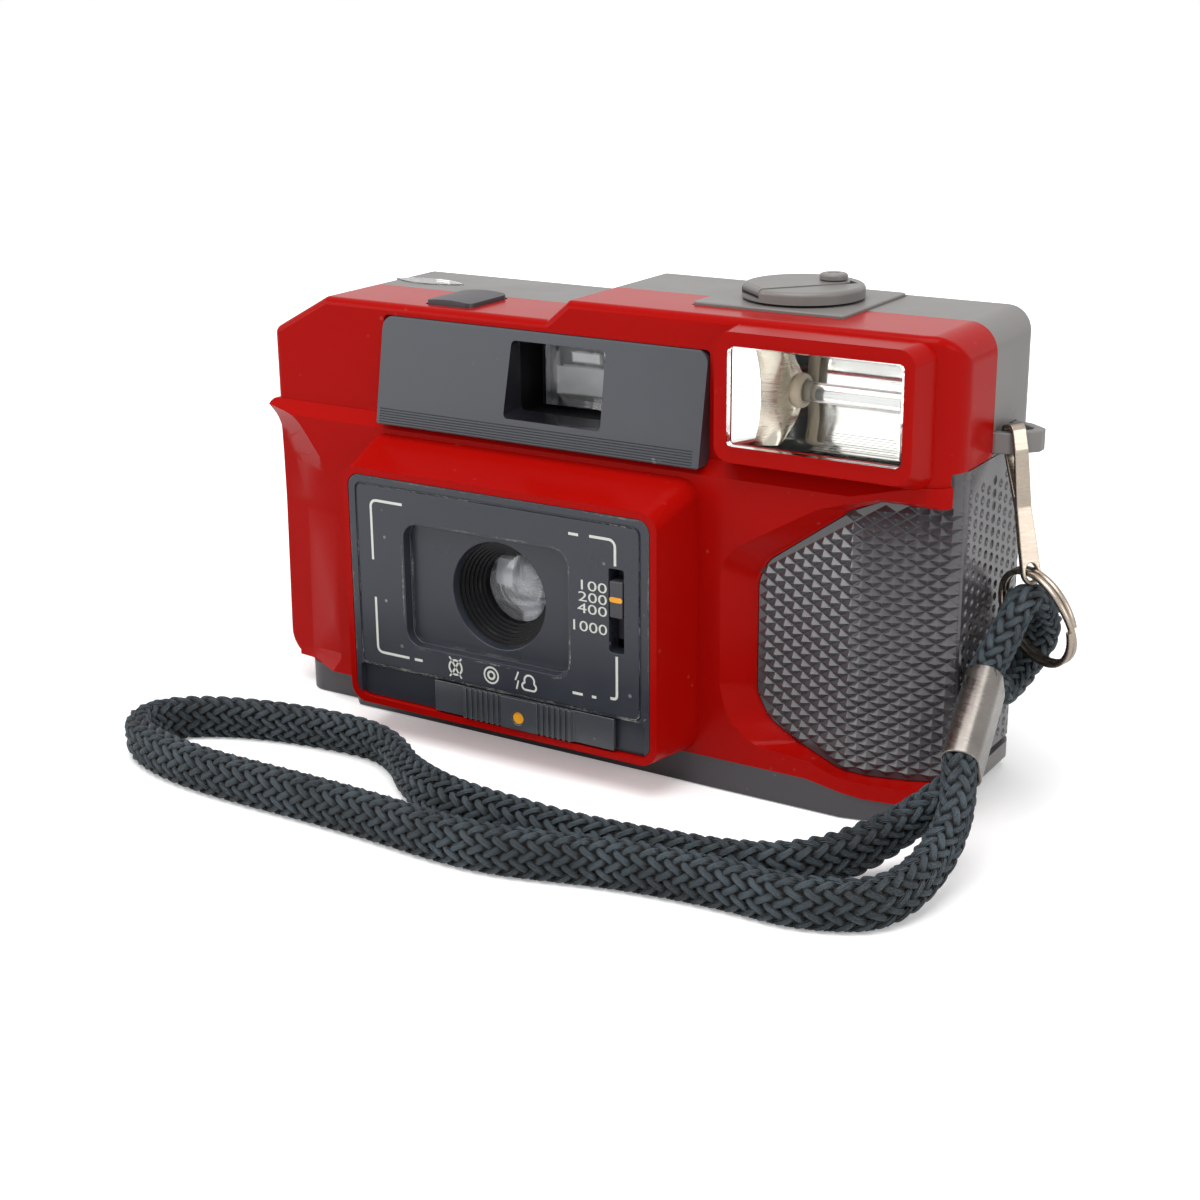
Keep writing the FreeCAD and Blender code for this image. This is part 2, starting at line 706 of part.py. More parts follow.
def inner_frame():
    """Cartridge tub, spool room, sprocket pocket, gate wall, light tunnel and deck."""
    top = deck_z + deck_thick
    rooms = [
        box(chamber_left_x(), door_right_x - 0.4, chamber_front_y(), cartridge_y, chassis_low_z, top),
        rod_z(spool_x, spool_y, spool_room_r + chamber_wall, chassis_low_z, top),
        rod_z(sprocket_x, sprocket_y, sprocket_tooth_r + 0.5 + chamber_wall, chassis_low_z, top),
    ]
    gate_wall = box(sprocket_x, chamber_left_x() + chamber_wall, film_y - 1.3, film_y, chassis_low_z, top)
    side_wall = box(chamber_left_x(), chamber_left_x() + chamber_wall, chamber_front_y(), film_y,
                    chassis_low_z, top)
    deck = box(-59.0, door_right_x - 0.4, -10.0, door_inner_y - 0.6, deck_z, top)
    floor = join([box(-59.0, door_right_x - 0.4, -8.0, door_inner_y - 0.6, chassis_low_z, chassis_low_z + 1.2),
                  box(-59.0, door_right_x - 0.4, 12.6, door_inner_y - 0.6, base_z, chassis_low_z + 1.2)])
    left_wall = box(-59.0, -57.6, spool_y, door_inner_y - 0.6, chassis_low_z, top)
    right_wall = box(door_right_x - 1.6, door_right_x - 0.4, cartridge_y, door_inner_y - 0.6, chassis_low_z,
                     top)
    tunnel = taper_y(
        rect(lens_x - 9.4, lens_x + 9.4, lens_z - 8.2, lens_z + 8.2), mount_wall_y,
        rect(lens_x - gate_w / 2 - 1.2, lens_x + gate_w / 2 + 1.2, lens_z - gate_h / 2 - 1.2,
             lens_z + gate_h / 2 + 1.2),
        film_y - 0.5, 0)
    mount_wall = box(lens_x - 15.0, lens_x + 16.5, mount_wall_y, mount_wall_y + mount_wall_thick,
                     lens_z - 12.5, lens_z + 13.0)
    guide = rod_z(button_x, button_y, spring_r + 0.6, deck_z, deck_z + 7.5)
    body = join(rooms + [gate_wall, side_wall, deck, floor, left_wall, right_wall, tunnel, mount_wall, guide])
    body = body.common(box(-59.0, door_right_x - 0.4, -13.0, door_inner_y - 0.6, door_low_z, top + 8))
    return body.cut(chassis_openings())


def chassis_openings():
    low, high = chassis_low_z + 1.2, deck_z
    light = taper_y(
        rect(lens_x - 8.2, lens_x + 8.2, lens_z - 7.0, lens_z + 7.0), mount_wall_y + mount_wall_thick,
        rect(lens_x - gate_w / 2, lens_x + gate_w / 2, lens_z - gate_h / 2,
             lens_z + gate_h / 2), film_y + 0.5, 0)
    cuts = [
        box(cartridge_x - cartridge_room_r, door_right_x - 1.6, cartridge_y - cartridge_room_r, 30, low, high),
        rod_z(spool_x, spool_y, spool_room_r, low, high),
        rod_z(sprocket_x, sprocket_y, sprocket_tooth_r + 0.5, low, high),
        box(-57.6, door_right_x - 1.6, film_y, 30, low, high),
        light,
        rod_y(lens_x, lens_z, cover_disc_r - 0.6, mount_wall_y - 1, mount_wall_y + mount_wall_thick + 1),
        rod_z(cartridge_x, cartridge_y, 4.4, high - 1, high + 3),
        rod_z(spool_x, spool_y, shaft_r + run_gap, 0, high + 3),
        rod_z(sprocket_x, sprocket_y, shaft_r + run_gap, 0, high + 3),
        rod_z(button_x, button_y, stem_r + 0.2, high - 1, high + 9),
        rod_z(0, 0, socket_outer_r + 0.5, 0, socket_length + 0.4),
    ]
    return join(cuts)


def light_seals():
    """Two foam strips where the back door closes on the chassis."""
    strips = []
    for z in (chassis_low_z - 0.8, deck_z + 0.2):
        strips.append(box(-56.0, door_right_x - 4, door_inner_y - 0.6, door_inner_y - 0.1, z, z + 0.9))
    return Part.makeCompound(strips)


def grip_panel():
    """Thick grey panel that wraps from the front round to the right side."""
    plan_outer = grip_plan(0)
    plan_inner = grip_plan(grip_thick)
    band = prism_z(plan_outer + plan_inner[::-1], 0, 0, 60)
    front = prism_y(grip_outline(0, grip_top_z), grip_radii(), -30, grip_rear_y + 1)
    return band.common(front).common(grip_room(0)).common(rear_block(0, 0, reach))


def viewfinder_bezel():
    profile = [(bezel_back_y, bezel_low_z), (bezel_low_y, bezel_low_z), (bezel_top_y, bezel_top_z),
               (bezel_back_y, bezel_top_z)]
    plate = prism_x(profile, [0, 0.3, 0.3, 0], bezel_left_x, bezel_right_x)
    plate = plate.common(prism_y(rect(bezel_left_x, bezel_right_x, bezel_low_z, bezel_top_z), [0.6, 0.6, 2, 2],
                                 block_y, 0))
    outer = rect(finder_left_x, finder_right_x, finder_low_z, finder_top_z)
    inner = rect(finder_left_x + 1.3, finder_right_x - 0.5, finder_low_z + 0.9, finder_top_z - 0.4)
    mouth = taper_y(outer, bezel_low_y - 0.2, inner, bezel_back_y + 0.1, 0.8)
    plate = plate.cut(mouth)
    lean = (bezel_top_y - bezel_low_y) / (bezel_top_z - bezel_low_z)
    for i in range(6):
        z = bezel_low_z + 0.5 + 0.42 * i
        y = bezel_low_y + lean * (z - bezel_low_z)
        plate = plate.cut(box(bezel_left_x + 0.6, bezel_right_x - 1.2, y - 1, y + 0.18, z, z + 0.18))
    return plate


def viewfinder_tunnel():
    w = finder_wall - 0.1
    outer = box(finder_left_x - w, finder_right_x + w, bezel_back_y + 0.1, back_y - wall - 0.1,
                finder_low_z - w,
                finder_top_z + w)
    outer = outer.cut(box(finder_left_x - w - 1, finder_right_x + w + 1, 14.0, reach, finder_low_z - 3,
                          finder_top_z + 3))
    rear = box(finder_mid_x() - eyepiece_w / 2 - 1.2, finder_mid_x() + eyepiece_w / 2 + 1.2, 12.6,
               back_y - wall - 0.6, finder_mid_z() - eyepiece_h / 2 - 1.2, finder_mid_z() + eyepiece_h / 2 + 1.2)
    body = join([outer, rear])
    room = box(finder_left_x, finder_right_x, -30, 12.6, finder_low_z, finder_top_z)
    body = body.cut(room)
    frame = box(finder_left_x, finder_right_x, -5.5, -4.0, finder_low_z, finder_top_z)
    opening = prism_y(rect(finder_mid_x() - 5.6, finder_right_x - 1.2, finder_low_z + 1.6,
                           finder_top_z - 1.6), 1.0, -8, 0)
    body = join([body, frame.cut(opening)])
    return body.cut(box(finder_mid_x() - eyepiece_w / 2, finder_mid_x() + eyepiece_w / 2, -2, reach,
                        finder_mid_z() - eyepiece_h / 2, finder_mid_z() + eyepiece_h / 2))


def viewfinder_front_lens():
    lens = box(finder_mid_x() - 7.0, finder_right_x - 0.4, -8.2, -5.6, finder_low_z + 0.9, finder_top_z - 0.9)
    hollow = Part.makeSphere(22.0, V(finder_mid_x() + 1, -8.2 - 21.0, finder_mid_z()))
    return lens.cut(hollow)


def viewfinder_eyepiece():
    block = box(finder_mid_x() - eyepiece_w / 2 + seat_gap, finder_mid_x() + eyepiece_w / 2 - seat_gap,
                12.9, 15.3,
                finder_mid_z() - eyepiece_h / 2 + seat_gap, finder_mid_z() + eyepiece_h / 2 - seat_gap)
    return block.common(Part.makeSphere(20.0, V(finder_mid_x(), 15.3 - 20.0, finder_mid_z())))


def ready_lamp():
    """Small neon lamp that shows beside the eyepiece."""
    glass = rod_y(finder_right_x + 5.5, finder_mid_z(), 1.4, 10.0, back_y - wall - 0.1)
    return glass


def lens_plate():
    rim = plate_rim
    left, right = block_left_x + rim, block_right_x - rim
    low, high = block_low_z + rim, block_top_z - rim
    plate = prism_y(rect(left, right, low, high), plate_r, block_y, plate_back_y)
    plate = plate.cut(prism_y(rect(-25.4, 6.2, 17.8, 38.6), 2.6, block_y - 1, block_y + 1.8))
    mouth = Part.makeCone(bore_r + 0.5, bore_r - 0.1, 2.2, V(lens_x, block_y + 0.9, lens_z), V(0, 1, 0))
    plate = plate.cut(mouth)
    frame_outer = prism_y(rect(left + 1.3, right - 1.5, 12.9, high - 1.2), 1.4, block_y - 1, block_y + 0.35)
    frame_inner = prism_y(rect(left + 1.7, right - 1.9, 13.3, high - 1.6), 1.0, block_y - 2, block_y + 1)
    plate = plate.cut(frame_outer.cut(frame_inner))
    channel = prism_y(rect(left + 0.9, right - 0.9, low - 2, 12.8), 0.8, block_y - 1, block_y + 0.9)
    slot = box(lever_stem_x - lever_travel - 2.6, lever_stem_x + 2.6, block_y - 1, 0, 8.6, 10.9)
    speed = prism_y(rect(speed_x - speed_slot_w / 2, speed_x + speed_slot_w / 2, speed_slot_low_z,
                         speed_slot_high_z),
                    0.4, block_y - 1, 0)
    return plate.cut(join([channel, slot, speed]))


def lens_barrel():
    """Barrel behind the plate: stepped cone, front seat, rear seat."""
    body = rod_y(lens_x, lens_z, barrel_r, plate_back_y, barrel_back_y)
    steps = 6
    depth = (-20.4 - plate_back_y) / steps
    for i in range(steps):
        r = bore_r - 0.2 - (bore_r - 0.2 - lens_r - 0.1) * i / steps
        body = body.cut(rod_y(lens_x, lens_z, r, plate_back_y + depth * i - 0.01,
                              plate_back_y + depth * (i + 1)))
    body = body.cut(rod_y(lens_x, lens_z, lens_r + 0.1, plate_back_y, -16.6))
    body = body.cut(rod_y(lens_x, lens_z, 4.7, -17, -13.9))
    return body.cut(rod_y(lens_x, lens_z, stop_r + 0.6, -14, 0))


def front_lens():
    disc = rod_y(lens_x, lens_z, lens_r, -20.6, -18.0)
    return disc.common(Part.makeSphere(13.0, V(lens_x, -20.6 + 13.0, lens_z)))


def lens_retainer():
    ring = rod_y(lens_x, lens_z, lens_r, -17.9, -16.7)
    return ring.cut(rod_y(lens_x, lens_z, lens_r - 1.1, -19, -16))


def rear_lens():
    disc = rod_y(lens_x, lens_z, 4.6, -16.4, -14.0)
    return disc.common(Part.makeSphere(12.0, V(lens_x, -14.0 - 12.0, lens_z)))


def aperture_slider():
    """Ribbed lever, stem through the plate, and the leaf with two stops and a blank end."""
    front_y = block_y - 0.7
    lever = box(lever_low_x, lever_high_x, front_y, block_y + 0.6, lever_low_z, lever_high_z)
    lever = lever.cut(box(lever_low_x - 1, lever_stem_x - 10.7, front_y - 1, block_y - 0.1, 0, 20))
    lever = lever.cut(box(lever_stem_x + 10.5, lever_high_x + 1, front_y - 1, block_y - 0.1, 0, 20))
    for side in (-10.7, 3.2):
        for i in range(7):
            x = lever_stem_x + side + 0.6 + 1.05 * i
            lever = lever.cut(box(x, x + 0.5, front_y - 1, front_y + 0.4, 0, 20))
    lever = lever.cut(rod_y(lever_stem_x, 9.3, 1.15, front_y - 1, front_y + 0.3))
    stem = box(lever_stem_x - 2.2, lever_stem_x + 2.2, block_y + 0.5, aperture_y + aperture_thick, 8.9, 10.6)
    leg = box(lever_stem_x - 2.2, lever_stem_x + 2.2, aperture_y, aperture_y + aperture_thick, 8.9, lens_z)
    leaf = box(lens_x - 5.0, lens_x + lever_travel + 4.6, aperture_y, aperture_y + aperture_thick, lens_z - 5.0,
               lens_z + 5.0)
    body = join([lever, stem, leg, leaf])
    body = body.cut(rod_y(lens_x, lens_z, stop_r, aperture_y - 1, aperture_y + 1))
    return body.cut(rod_y(lens_x + small_stop_offset, lens_z, stop_r / 2, aperture_y - 1, aperture_y + 1))


def speed_slider():
    knob = box(speed_x - speed_slot_w / 2 + 0.2, speed_x + speed_slot_w / 2 - 0.2, block_y - 0.1,
               plate_back_y + 0.2,
               speed_knob_z - speed_knob_h / 2, speed_knob_z + speed_knob_h / 2)
    tail = box(speed_x - 2.6, speed_x + 2.2, plate_back_y + 0.1, plate_back_y + 0.9, speed_knob_z - 7.5,
               speed_knob_z + 7.5)
    return join([knob, tail])


def shutter_plate():
    """Steel plate with the exposure hole, four spacers and the pivot of the blade."""
    y0, y1 = shutter_plate_y, shutter_plate_y + shutter_plate_thick
    plate = box(lens_x - 14.0, lens_x + 15.5, y0, y1, lens_z - 11.5, lens_z + 12.5)
    plate = plate.cut(rod_y(lens_x, lens_z, cover_disc_r - 1.0, y0 - 1, y1 + 1))
    spacers = [rod_y(x, z, 1.1, y0, mount_wall_y) for x in (lens_x - 12.6, lens_x + 14.2)
               for z in (lens_z - 10.2, lens_z + 11.2) if not (x > lens_x and z > lens_z)]
    pivot = rod_y(blade_pivot_x, blade_pivot_z, 0.8, y0, mount_wall_y)
    return join([plate, pivot] + spacers)


def shutter_blade():
    y0, y1 = blade_y, blade_y + blade_thick
    disc = rod_y(lens_x, lens_z, cover_disc_r, y0, y1)
    hub = rod_y(blade_pivot_x, blade_pivot_z, 2.0, y0, y1)
    run = math.atan2(blade_pivot_z - lens_z, blade_pivot_x - lens_x)
    long = math.hypot(blade_pivot_z - lens_z, blade_pivot_x - lens_x)
    arm = box(0, long, y0, y1, -1.5, 1.5)
    arm.rotate(V(0, 0, 0), V(0, 1, 0), -math.degrees(run))
    arm.translate(V(lens_x, 0, lens_z))
    return join([disc, hub, arm]).cut(rod_y(blade_pivot_x, blade_pivot_z, 0.8 + run_gap, y0 - 1, y1 + 1))


def shutter_button():
    """Domed key with a retaining flange and a stem."""
    top = top_low_z + button_rise
    key = prism_z(
        [(button_x - button_w / 2, button_y - button_d / 2), (button_x + button_w / 2, button_y - button_d / 2),
         (button_x + button_w / 2, button_y + button_d / 2),
         (button_x - button_w / 2, button_y + button_d / 2)],
        1.2, top_low_z - wall - 0.4, top)
    dome = Part.makeCylinder(30.0, 40.0, V(button_x, button_y - 20, top - 30.0), V(0, 1, 0))
    key = key.common(dome)
    flange_top = top_low_z - wall - 0.15
    flange = box(button_x - button_w / 2 - 0.9, button_x + button_w / 2 + 0.9, button_y - button_d / 2 - 0.7,
                 button_y + button_d / 2 - 0.2, flange_top - 1.0, flange_top)
    stem = rod_z(button_x, button_y, stem_r, deck_z + 4.5, flange_top - 0.5)
    return join([key, flange, stem])


def coil(x, y, r, wire_r, z0, z1, turns):
    """Compression spring: one wire wound round an upright axis."""
    pitch = (z1 - z0 - 2 * wire_r) / turns
    helix = Part.makeHelix(pitch, z1 - z0 - 2 * wire_r, r)
    helix.translate(V(x, y, z0 + wire_r))
    start = helix.Edges[0].Vertexes[0].Point
    section = Part.Wire(Part.makeCircle(wire_r, start, V(0, 1, pitch / (2 * math.pi * r))))
    return Part.Wire(helix.Edges).makePipeShell([section], True, True)


def button_spring():
    return coil(button_x, button_y, spring_r - 0.3, spring_wire_r, deck_z + 7.6, top_low_z - wall - 1.25,
                spring_turns)


def flash_window():
    """Clear moulding with shallow ribs inside."""
    plate = prism_y(
        rect(flash_left_x + seat_gap, flash_right_x - seat_gap, flash_low_z + seat_gap, flash_top_z - seat_gap),
        0.8, pod_y - 0.6, pod_y + window_thick)
    flange = prism_y(
        rect(flash_left_x - 0.6, flash_right_x + 0.4, flash_low_z - 0.8, flash_top_z + 0.3), 0.8,
        pod_y + wall + 0.05, pod_y + wall + 0.55)
    web = prism_y(
        rect(flash_left_x + 0.2, flash_right_x - 0.2, flash_low_z + 0.2, flash_top_z - 0.2), 0.8,
        pod_y + window_thick - 0.1, pod_y + wall + 0.3)
    core = prism_y(
        rect(flash_left_x + 1.2, flash_right_x - 1.2, flash_low_z + 1.2, flash_top_z - 1.2), 0.8,
        pod_y + window_thick, pod_y + wall + 1)
    return join([plate, flange.cut(core), web.cut(core)])


def flash_reflector():
    """Bright trough behind the window, closed by end cheeks that the tube passes."""
    front_y = pod_y + wall + 0.8
    mid_z = (flash_low_z + flash_top_z) / 2
    half = (flash_top_z - flash_low_z) / 2 + 0.2
    back = tube_y + tube_r + 1.4

    def trough(grow):
        arc = Part.Arc(V(0, front_y, mid_z + half + grow), V(0, back + grow, mid_z),
                       V(0, front_y, mid_z - half - grow))
        chord = Part.makeLine(V(0, front_y, mid_z - half - grow), V(0, front_y, mid_z + half + grow))
        face = Part.Face(Part.Wire([arc.toShape(), chord]))
        return face

    left, right = flash_left_x + 0.3, flash_right_x - 0.3
    shell = trough(reflector_thick).extrude(V(right - left, 0, 0))
    shell.translate(V(left, 0, 0))
    room = trough(0).extrude(V(right - left - 2 * reflector_thick, 0, 0))
    room.translate(V(left + reflector_thick, 0, 0))
    return shell.cut(room).cut(rod_x(tube_y, mid_z, tube_r + seat_gap, left - 1, right + 1))


def flash_tube():
    mid_z = (flash_low_z + flash_top_z) / 2
    return rod_x(tube_y, mid_z, tube_r, flash_left_x - 0.9, tube_rear_x)


def flash_capacitor():
    can = rod_z(13.6, -15.7, 5.0, floor_z + 1.6, 42.0)
    return round_edges(can, 0.6, lambda e: on_plane(e, "z", 42.0))


def flash_board():
    """Circuit board beside the lens with its transformer and parts."""
    low = floor_z
    board = box(-35.4, -26.4, -13.6, -12.4, low, 45.0)
    parts = [
        box(-34.6, -27.4, -21.0, -13.6, low + 2, low + 12),
        rod_z(-32.4, -15.9, 2.6, 24.0, 31.0),
        rod_z(-28.6, -15.3, 1.9, 24.0, 29.0),
        box(-34.0, -29.6, -16.0, -13.6, 34.0, 39.0),
    ]
    return join([board] + parts)


def rewind_plate():
    plate = prism_z(
        [(rewind_left_x, rewind_front_y), (rewind_right_x, rewind_front_y), (rewind_right_x, rewind_back_y),
         (rewind_left_x, rewind_back_y)], 0.8, top_high_z - 0.7, rewind_plate_z)
    return plate.cut(rod_z(cartridge_x, cartridge_y, well_r - 3.0, 0, reach))


def rewind_collar():
    """Keyed bushing that turns with the shaft while the shaft slides through it."""
    top = top_high_z - 0.7 - 0.05
    ring = join([
        rod_z(cartridge_x, cartridge_y, well_r - 3.2, top - 0.05, rewind_plate_z - 0.1),
        rod_z(cartridge_x, cartridge_y, well_r - 2.3, top - wall - 0.6, top),
    ])
    keyed = rod_z(cartridge_x, cartridge_y, rewind_shaft_r + run_gap, 0, reach)
    keyed = keyed.common(box(-reach, reach, -reach, cartridge_y + rewind_shaft_r * 0.7 + run_gap, 0, reach))
    return ring.cut(keyed)


def rewind_shaft():
    """Shaft with a flat and, below the deck, the two-pronged fork that turns the film."""
    shaft = rod_z(cartridge_x, cartridge_y, rewind_shaft_r, deck_z - 1.4, knob_low_z - 0.02)
    shaft = shaft.common(box(-reach, reach, -reach, cartridge_y + rewind_shaft_r * 0.7, 0, reach))
    fork = box(cartridge_x - 3.0, cartridge_x + 3.0, cartridge_y - 0.75, cartridge_y + 0.75, deck_z - 6.4,
               deck_z - 1.2)
    fork = fork.cut(box(cartridge_x - 1.0, cartridge_x + 1.0, -reach, reach, 0, deck_z - 3.4))
    return join([shaft, fork])


def on_rewind(shape):
    """Move a shape drawn along +X onto the rewind axis, turned to the folded crank."""
    shape.rotate(V(0, 0, 0), V(0, 0, 1), crank_turn)
    shape.translate(V(cartridge_x, cartridge_y, 0))
    return shape


def crank_pin_z():
    return knob_low_z + knob_thick - 0.6


def crank_top_z():
    return knob_low_z + knob_thick + crank_proud


def rewind_knob():
    """Low disc with a channel for the crank, deeper where the crank swings past its pin."""
    top = knob_low_z + knob_thick
    disc = rod_z(0, 0, knob_r, knob_low_z, top)
    disc = round_edges(disc, 0.7, lambda e: on_plane(e, "z", top))
    half = crank_width / 2 + part_gap
    channel = box(-crank_pivot_back, crank_length - crank_pivot_back + 0.4, -half, half,
                  crank_top_z() - crank_thick - 0.1, reach)
    mouth = box(-reach, 1.0 - crank_pivot_back, -half, half, crank_pin_z() - 0.85, reach)
    pin = rod(V(-crank_pivot_back, -crank_pin_half, crank_pin_z()), V(0, 1, 0), crank_pin_r, 2 * crank_pin_half)
    return on_rewind(disc.cut(join([channel, mouth, pin])))


def crank_pin():
    start = V(-crank_pivot_back, -crank_pin_half, crank_pin_z())
    return on_rewind(rod(start, V(0, 1, 0), crank_pin_r, 2 * crank_pin_half))


def rewind_crank():
    """Flat wide lever that folds into the disc, with a stub for its finger knob."""
    half = crank_width / 2
    end_x = crank_length - crank_pivot_back
    low = crank_top_z() - crank_thick
    lever = prism_z([(-crank_pivot_back, -half), (end_x, -half), (end_x, half), (-crank_pivot_back, half)],
                    [0, 2.4, 2.4, 0], low, crank_top_z())
    barrel = rod(V(-crank_pivot_back, -half, crank_pin_z()), V(0, 1, 0), crank_barrel_r, crank_width)
    stub = rod_z(crank_knob_along, 0, crank_stub_r, low, crank_top_z() + crank_knob_h)
    bore = rod(V(-crank_pivot_back, -reach, crank_pin_z()), V(0, 1, 0), crank_pin_r + run_gap, 2 * reach)
    return on_rewind(join([lever, barrel, stub]).cut(bore))


def crank_knob():
    low = crank_top_z() + 0.1
    knob = rod_z(crank_knob_along, 0, crank_knob_r, low, low + crank_knob_h)
    knob = round_edges(knob, 0.4, lambda e: on_plane(e, "z", low + crank_knob_h))
    return on_rewind(knob.cut(rod_z(crank_knob_along, 0, crank_stub_r + run_gap, 0, reach)))


def gear_tip(teeth):
    return gear_module * (teeth / 2 + 0.9)


def gear(x, y, teeth, z0, z1, phase):
    """Spur gear with straight-sided teeth."""
    tip_r, root_r = gear_tip(teeth), gear_module * (teeth / 2 - 1.15)
    points = []
    step = 2 * math.pi / teeth
    for i in range(teeth):
        for r, part in ((root_r, -0.30), (tip_r, -0.115), (tip_r, 0.115), (root_r, 0.30)):
            a = phase + step * (i + part)
            points.append(V(x + r * math.cos(a), y + r * math.sin(a), z0))
    return Part.Face(Part.makePolygon(points + points[:1])).extrude(V(0, 0, z1 - z0))


def mesh_direction():
    return math.atan2(sprocket_y - spool_y, sprocket_x - spool_x)


def take_up_spool():
    """Film spool with flanges, a film slot and the shaft that carries the wheel."""
    core = rod_z(spool_x, spool_y, spool_core_r, 9.0, deck_z - 1.0)
    low = rod_z(spool_x, spool_y, spool_flange_r, 8.2, 9.4)
    high = rod_z(spool_x, spool_y, spool_flange_r, deck_z - 2.2, deck_z - 1.0)
    shaft = rod_z(spool_x, spool_y, shaft_r, chassis_low_z - 0.4, wheel_low_z + wheel_thick + 0.6)
    body = join([core, low, high, shaft])
    slot = box(spool_x - 0.5, spool_x + 0.5, spool_y + 2.0, spool_y + spool_core_r + 1, lens_z - 17.5,
               lens_z + 17.5)
    return body.cut(slot)


def advance_wheel():
    """Thumb wheel and its gear on the spool shaft."""
    wheel = rod_z(spool_x, spool_y, wheel_r, wheel_low_z, wheel_low_z + wheel_thick)
    count = 48
    for i in range(count):
        a = 2 * math.pi * i / count
        wheel = wheel.cut(rod_z(spool_x + (wheel_r + 0.15) * math.cos(a),
                                spool_y + (wheel_r + 0.15) * math.sin(a), 0.42,
                                wheel_low_z - 1, wheel_low_z + wheel_thick + 1))
    hub = rod_z(spool_x, spool_y, 3.2, gear_low_z, wheel_low_z + 0.5)
    teeth = gear(spool_x, spool_y, spool_gear_teeth, gear_low_z, gear_low_z + gear_thick, mesh_direction())
    return join([wheel, hub, teeth]).cut(rod_z(spool_x, spool_y, shaft_r, 0, reach))


def sprocket_drum():
    """Toothed drum that the film turns, its gear and the finger that steps the counter."""
    drum = rod_z(sprocket_x, sprocket_y, sprocket_r, 8.4, deck_z - 1.2)
    drum = drum.cut(rod_z(sprocket_x, sprocket_y, sprocket_r + 1, 16.5, 40.5).cut(
        rod_z(sprocket_x, sprocket_y, sprocket_r - 1.6, 16.5, 40.5)))
    shaft = rod_z(sprocket_x, sprocket_y, shaft_r, chassis_low_z - 0.4, ratchet_low() - 0.4)
    tip = rod_z(sprocket_x, sprocket_y, finger_r, ratchet_low() - 0.6, dial_low_z + 1.5)
    phase = mesh_direction() + math.pi + math.pi / sprocket_gear_teeth
    teeth = gear(sprocket_x, sprocket_y, sprocket_gear_teeth, gear_low_z, gear_low_z + gear_thick, phase)
    body = [drum, shaft, tip, teeth]
    for z in (lens_z - perforation_half, lens_z + perforation_half):
        for i in range(sprocket_teeth):
            tooth = Part.makeCone(0.9, 0.5, sprocket_tooth_r - sprocket_r + 0.6,
                                  V(sprocket_x + sprocket_r - 0.6, sprocket_y, z), V(1, 0, 0))
            tooth.rotate(V(sprocket_x, sprocket_y, z), V(0, 0, 1), 22.5 + 360.0 * i / sprocket_teeth)
            body.append(tooth)
    return join(body)


def ratchet_low():
    return dial_low_z


def counter_dial():
    """Number disc over a toothed ring, hung on a pin below the top."""
    disc = rod_z(dial_x, dial_y, dial_r, dial_low_z + 1.9, dial_low_z + 2.7)
    points = []
    step = 2 * math.pi / ratchet_teeth
    for i in range(ratchet_teeth):
        for r, part in ((ratchet_r - 0.5, 0.0), (ratchet_r, 0.8)):
            a = step * (i + part)
            points.append(V(dial_x + r * math.cos(a), dial_y + r * math.sin(a), dial_low_z))
    ring = Part.Face(Part.makePolygon(points + points[:1])).extrude(V(0, 0, 1.3))
    hub = rod_z(dial_x, dial_y, 3.0, dial_low_z, dial_low_z + 2.7)
    return join([disc, ring, hub]).cut(rod_z(dial_x, dial_y, dial_pin_r + run_gap, 0, reach))


def back_door():
    """Door plate with a rounded hinge edge, a catch and a shallow thumb ridge."""
    plate = box(hinge_x, door_right_x, door_inner_y, back_y, door_low_z, door_top_z)
    knuckle = rod_z(hinge_x, hinge_y, hinge_r, door_low_z, door_top_z)
    plate = join([plate, knuckle])
    plate = round_edges(plate, 0.8, lambda e: on_plane(e, "y", back_y) and e.BoundBox.XLength > 20)
    ribs = [box(door_right_x - 14 + 1.8 * i, door_right_x - 13 + 1.8 * i, back_y - 0.3, back_y + 0.5, 20, 40)
            for i in range(5)]
    catch = box(door_right_x - 3.2, door_right_x - 2.2, door_inner_y - 1.2, door_inner_y + 0.5, 26, 32)
    body = join([plate, catch] + ribs)
    return body.cut(rod_z(hinge_x, hinge_y, hinge_pin_r + run_gap, 0, reach))


def door_hinge_pin():
    return rod_z(hinge_x, hinge_y, hinge_pin_r, 2.0, door_top_z + 2.8)


def pressure_plate():
    x0 = lens_x - plate_w / 2 + 0.5
    z0 = lens_z - plate_h / 2
    plate = prism_y(rect(x0, x0 + plate_w, z0, z0 + plate_h), 2.0, film_y + 0.6, film_y + 1.4)
    return plate


def pressure_spring():
    """Bowed leaf between the door and the pressure plate."""
    low, high = film_y + 1.45, door_inner_y - 0.05
    half = 14.0
    outer = Part.Arc(V(lens_x - half, low, 0), V(lens_x, high, 0), V(lens_x + half, low, 0)).toShape()
    inner = Part.Arc(V(lens_x + half, low - 0.02, 0), V(lens_x, high - 0.25, 0),
                     V(lens_x - half, low - 0.02, 0)).toShape()
    ends = [Part.makeLine(V(lens_x + half, low, 0), V(lens_x + half, low - 0.02, 0)),
            Part.makeLine(V(lens_x - half, low - 0.02, 0), V(lens_x - half, low, 0))]
    leaf = Part.Face(Part.Wire([outer, ends[0], inner, ends[1]])).extrude(V(0, 0, 8.0))
    leaf.translate(V(0, 0, lens_z - 4.0))
    return leaf


